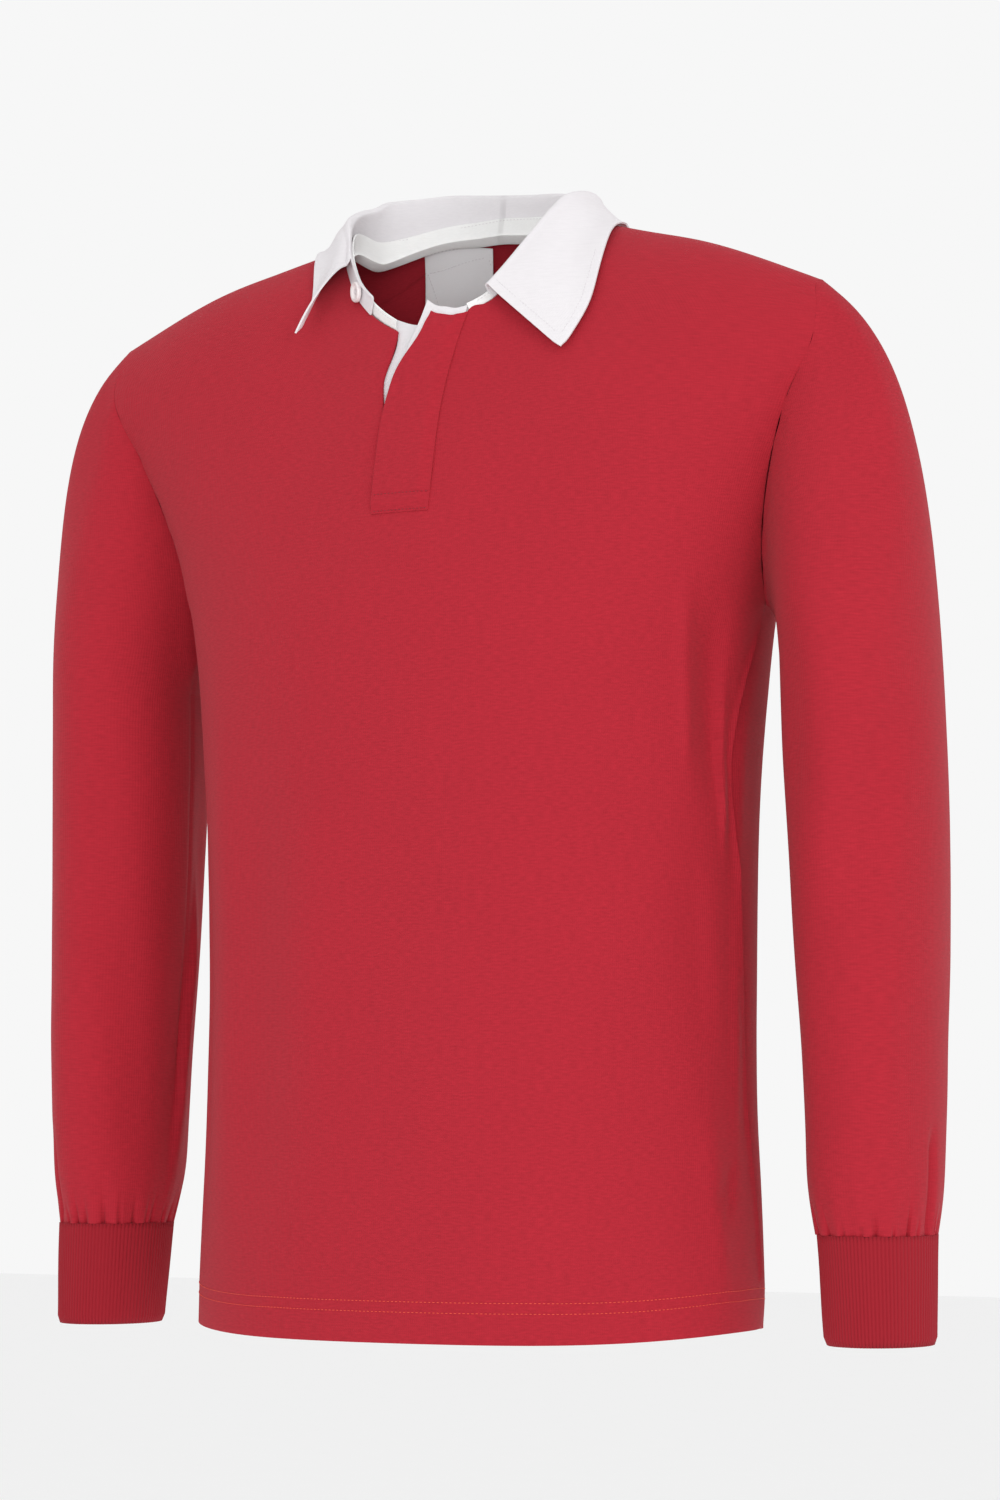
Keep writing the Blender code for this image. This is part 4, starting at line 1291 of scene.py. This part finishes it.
def placket_rows():
    """The two rows that close the placket's lower end."""
    surface = surface_of("placket_cloth")
    rows = []
    for level in PLACKET_ROWS:
        row = []
        for x in np.arange(*PLACKET_SPAN, settings().sewing.stitch):
            spot, normal, _, _ = surface.ray_cast(Vector((x, -1, level)), Vector((0, 1, 0)))
            if spot:
                row.append((spot, normal))
        rows.append(row)
    return rows


EDGE_STITCHING = (
    # node, name, slot, distance from the edge or None for the collar's own, share of the thread
    ("collar", "collar_stitching", "white_twill", None, 0.8),
    ("neck_tape", "tape_stitching", "tape", 1.6 * MM, 0.8),
    ("neck_label", "label_stitching", "label", 1.4 * MM, 0.7),
)


def build_stitching():
    sewing = settings().sewing
    sew("hem_stitching", hem_rows(), thread_material("hem_thread"), "jersey", sewing.thread)
    for node, name, slot, inset, share in EDGE_STITCHING:
        rows = edge_rows(node, f"{node}_cloth", inset or sewing.collar_row, sewing.stitch)
        sew(name, rows, thread_material("white_thread"), slot, sewing.thread * share)
    dark = thread_material("placket_thread")
    sew("placket_stitching", placket_rows(), dark, "jersey", sewing.thread)


# ---------------------------------------------------------------- stage

LIGHTS = (
    # name, place, size, power
    ("key", (2.9, -1.9, 1.4), 1.2, 18),
    ("front", (1.15, -2.4, -0.45), 0.9, 16),
)
LIT_PLACE = Vector((0, 0, -0.34))
WORLD_LIGHT = 0.93


def area_light(name, place, size, power):
    """A square lamp that faces the shirt."""
    data = bpy.data.lights.new(name, "AREA")
    data.size = size
    data.energy = power
    light = bpy.data.objects.new(name, data)
    light.location = place
    light.rotation_mode = "QUATERNION"
    light.rotation_quaternion = (LIT_PLACE - Vector(place)).to_track_quat("-Z", "Y")
    bpy.context.scene.collection.objects.link(light)


def build_stage():
    studio = settings().studio
    floor = bmesh.new()
    bmesh.ops.create_grid(floor, x_segments=8, y_segments=8, size=14)
    bmesh.ops.translate(floor, verts=floor.verts[:], vec=(0, 0, studio.floor))
    piece = object_from("floor", floor, paper_material())
    world = bpy.data.worlds.new("studio")
    bpy.context.scene.world = world
    world.use_nodes = True
    background = world.node_tree.nodes["Background"]
    background.inputs["Color"].default_value = (1.0, 1.0, 1.0, 1.0)
    background.inputs["Strength"].default_value = WORLD_LIGHT
    bpy.context.scene.view_settings.view_transform = "Standard"
    for row in LIGHTS:
        area_light(*row)
    camera = bpy.data.objects.new("camera", bpy.data.cameras.new("camera"))
    bpy.context.scene.collection.objects.link(camera)
    turn, pitch = studio.azimuth, studio.pitch
    camera.location = (
        studio.distance * math.sin(turn) + studio.aside * math.cos(turn),
        -studio.distance * math.cos(turn) + studio.aside * math.sin(turn),
        studio.height)
    camera.rotation_euler = (math.pi / 2 + pitch, 0, turn)
    camera.data.sensor_width = 36
    camera.data.lens = studio.lens
    camera.data.shift_y = studio.rise
    bpy.context.scene.camera = camera


# ---------------------------------------------------------------- operators

class SHIRT_OT_stage(bpy.types.Operator):
    """Set up the floor, light and camera"""
    bl_idname = "shirt.stage"
    bl_label = "Studio"

    def execute(self, context):
        build_stage()
        return {"FINISHED"}


class SHIRT_OT_panels(bpy.types.Operator):
    """Dress the front and back in jersey"""
    bl_idname = "shirt.panels"
    bl_label = "Front and back"

    def execute(self, context):
        build_panels()
        return {"FINISHED"}


class SHIRT_OT_sleeves(bpy.types.Operator):
    """Dress the sleeves in jersey"""
    bl_idname = "shirt.sleeves"
    bl_label = "Sleeves"

    def execute(self, context):
        build_sleeves()
        return {"FINISHED"}


class SHIRT_OT_cuffs(bpy.types.Operator):
    """Knit the ribbed cuffs"""
    bl_idname = "shirt.cuffs"
    bl_label = "Cuffs"

    def execute(self, context):
        build_cuffs()
        return {"FINISHED"}


class SHIRT_OT_placket(bpy.types.Operator):
    """Make the placket, its facing and the underlay"""
    bl_idname = "shirt.placket"
    bl_label = "Placket"

    def execute(self, context):
        build_placket()
        return {"FINISHED"}


class SHIRT_OT_collar(bpy.types.Operator):
    """Make the twill collar"""
    bl_idname = "shirt.collar"
    bl_label = "Collar"

    def execute(self, context):
        build_collar()
        return {"FINISHED"}


class SHIRT_OT_neck_trim(bpy.types.Operator):
    """Make the neck tape and the label"""
    bl_idname = "shirt.neck_trim"
    bl_label = "Neck tape and label"

    def execute(self, context):
        build_neck_trim()
        return {"FINISHED"}


class SHIRT_OT_button(bpy.types.Operator):
    """Make the button and its thread"""
    bl_idname = "shirt.button"
    bl_label = "Button"

    def execute(self, context):
        build_button()
        return {"FINISHED"}


class SHIRT_OT_stitching(bpy.types.Operator):
    """Sew the rows of stitches"""
    bl_idname = "shirt.stitching"
    bl_label = "Stitching"

    def execute(self, context):
        build_stitching()
        return {"FINISHED"}


OPERATORS = (
    SHIRT_OT_stage, SHIRT_OT_panels, SHIRT_OT_sleeves, SHIRT_OT_cuffs, SHIRT_OT_placket,
    SHIRT_OT_collar, SHIRT_OT_neck_trim, SHIRT_OT_button, SHIRT_OT_stitching,
)


class SHIRT_PT_panel(bpy.types.Panel):
    """Lists the shirt's pieces"""
    bl_label = "Rugby shirt"
    bl_idname = "SHIRT_PT_panel"
    bl_space_type = "VIEW_3D"
    bl_region_type = "UI"
    bl_category = "Shirt"

    def draw(self, context):
        for operator in OPERATORS:
            self.layout.operator(operator.bl_idname)


CLASSES = (ShirtColours, ShirtSewing, ShirtStudio, ShirtSettings, *OPERATORS, SHIRT_PT_panel)


def register():
    for cls in CLASSES:
        bpy.utils.register_class(cls)
    bpy.types.Scene.rugby_shirt = PointerProperty(type=ShirtSettings)


def unregister():
    del bpy.types.Scene.rugby_shirt
    for cls in reversed(CLASSES):
        bpy.utils.unregister_class(cls)


def main():
    register()
    for operator in OPERATORS:
        group, name = operator.bl_idname.split(".")
        getattr(getattr(bpy.ops, group), name)()


if __name__ == "__main__":
    main()
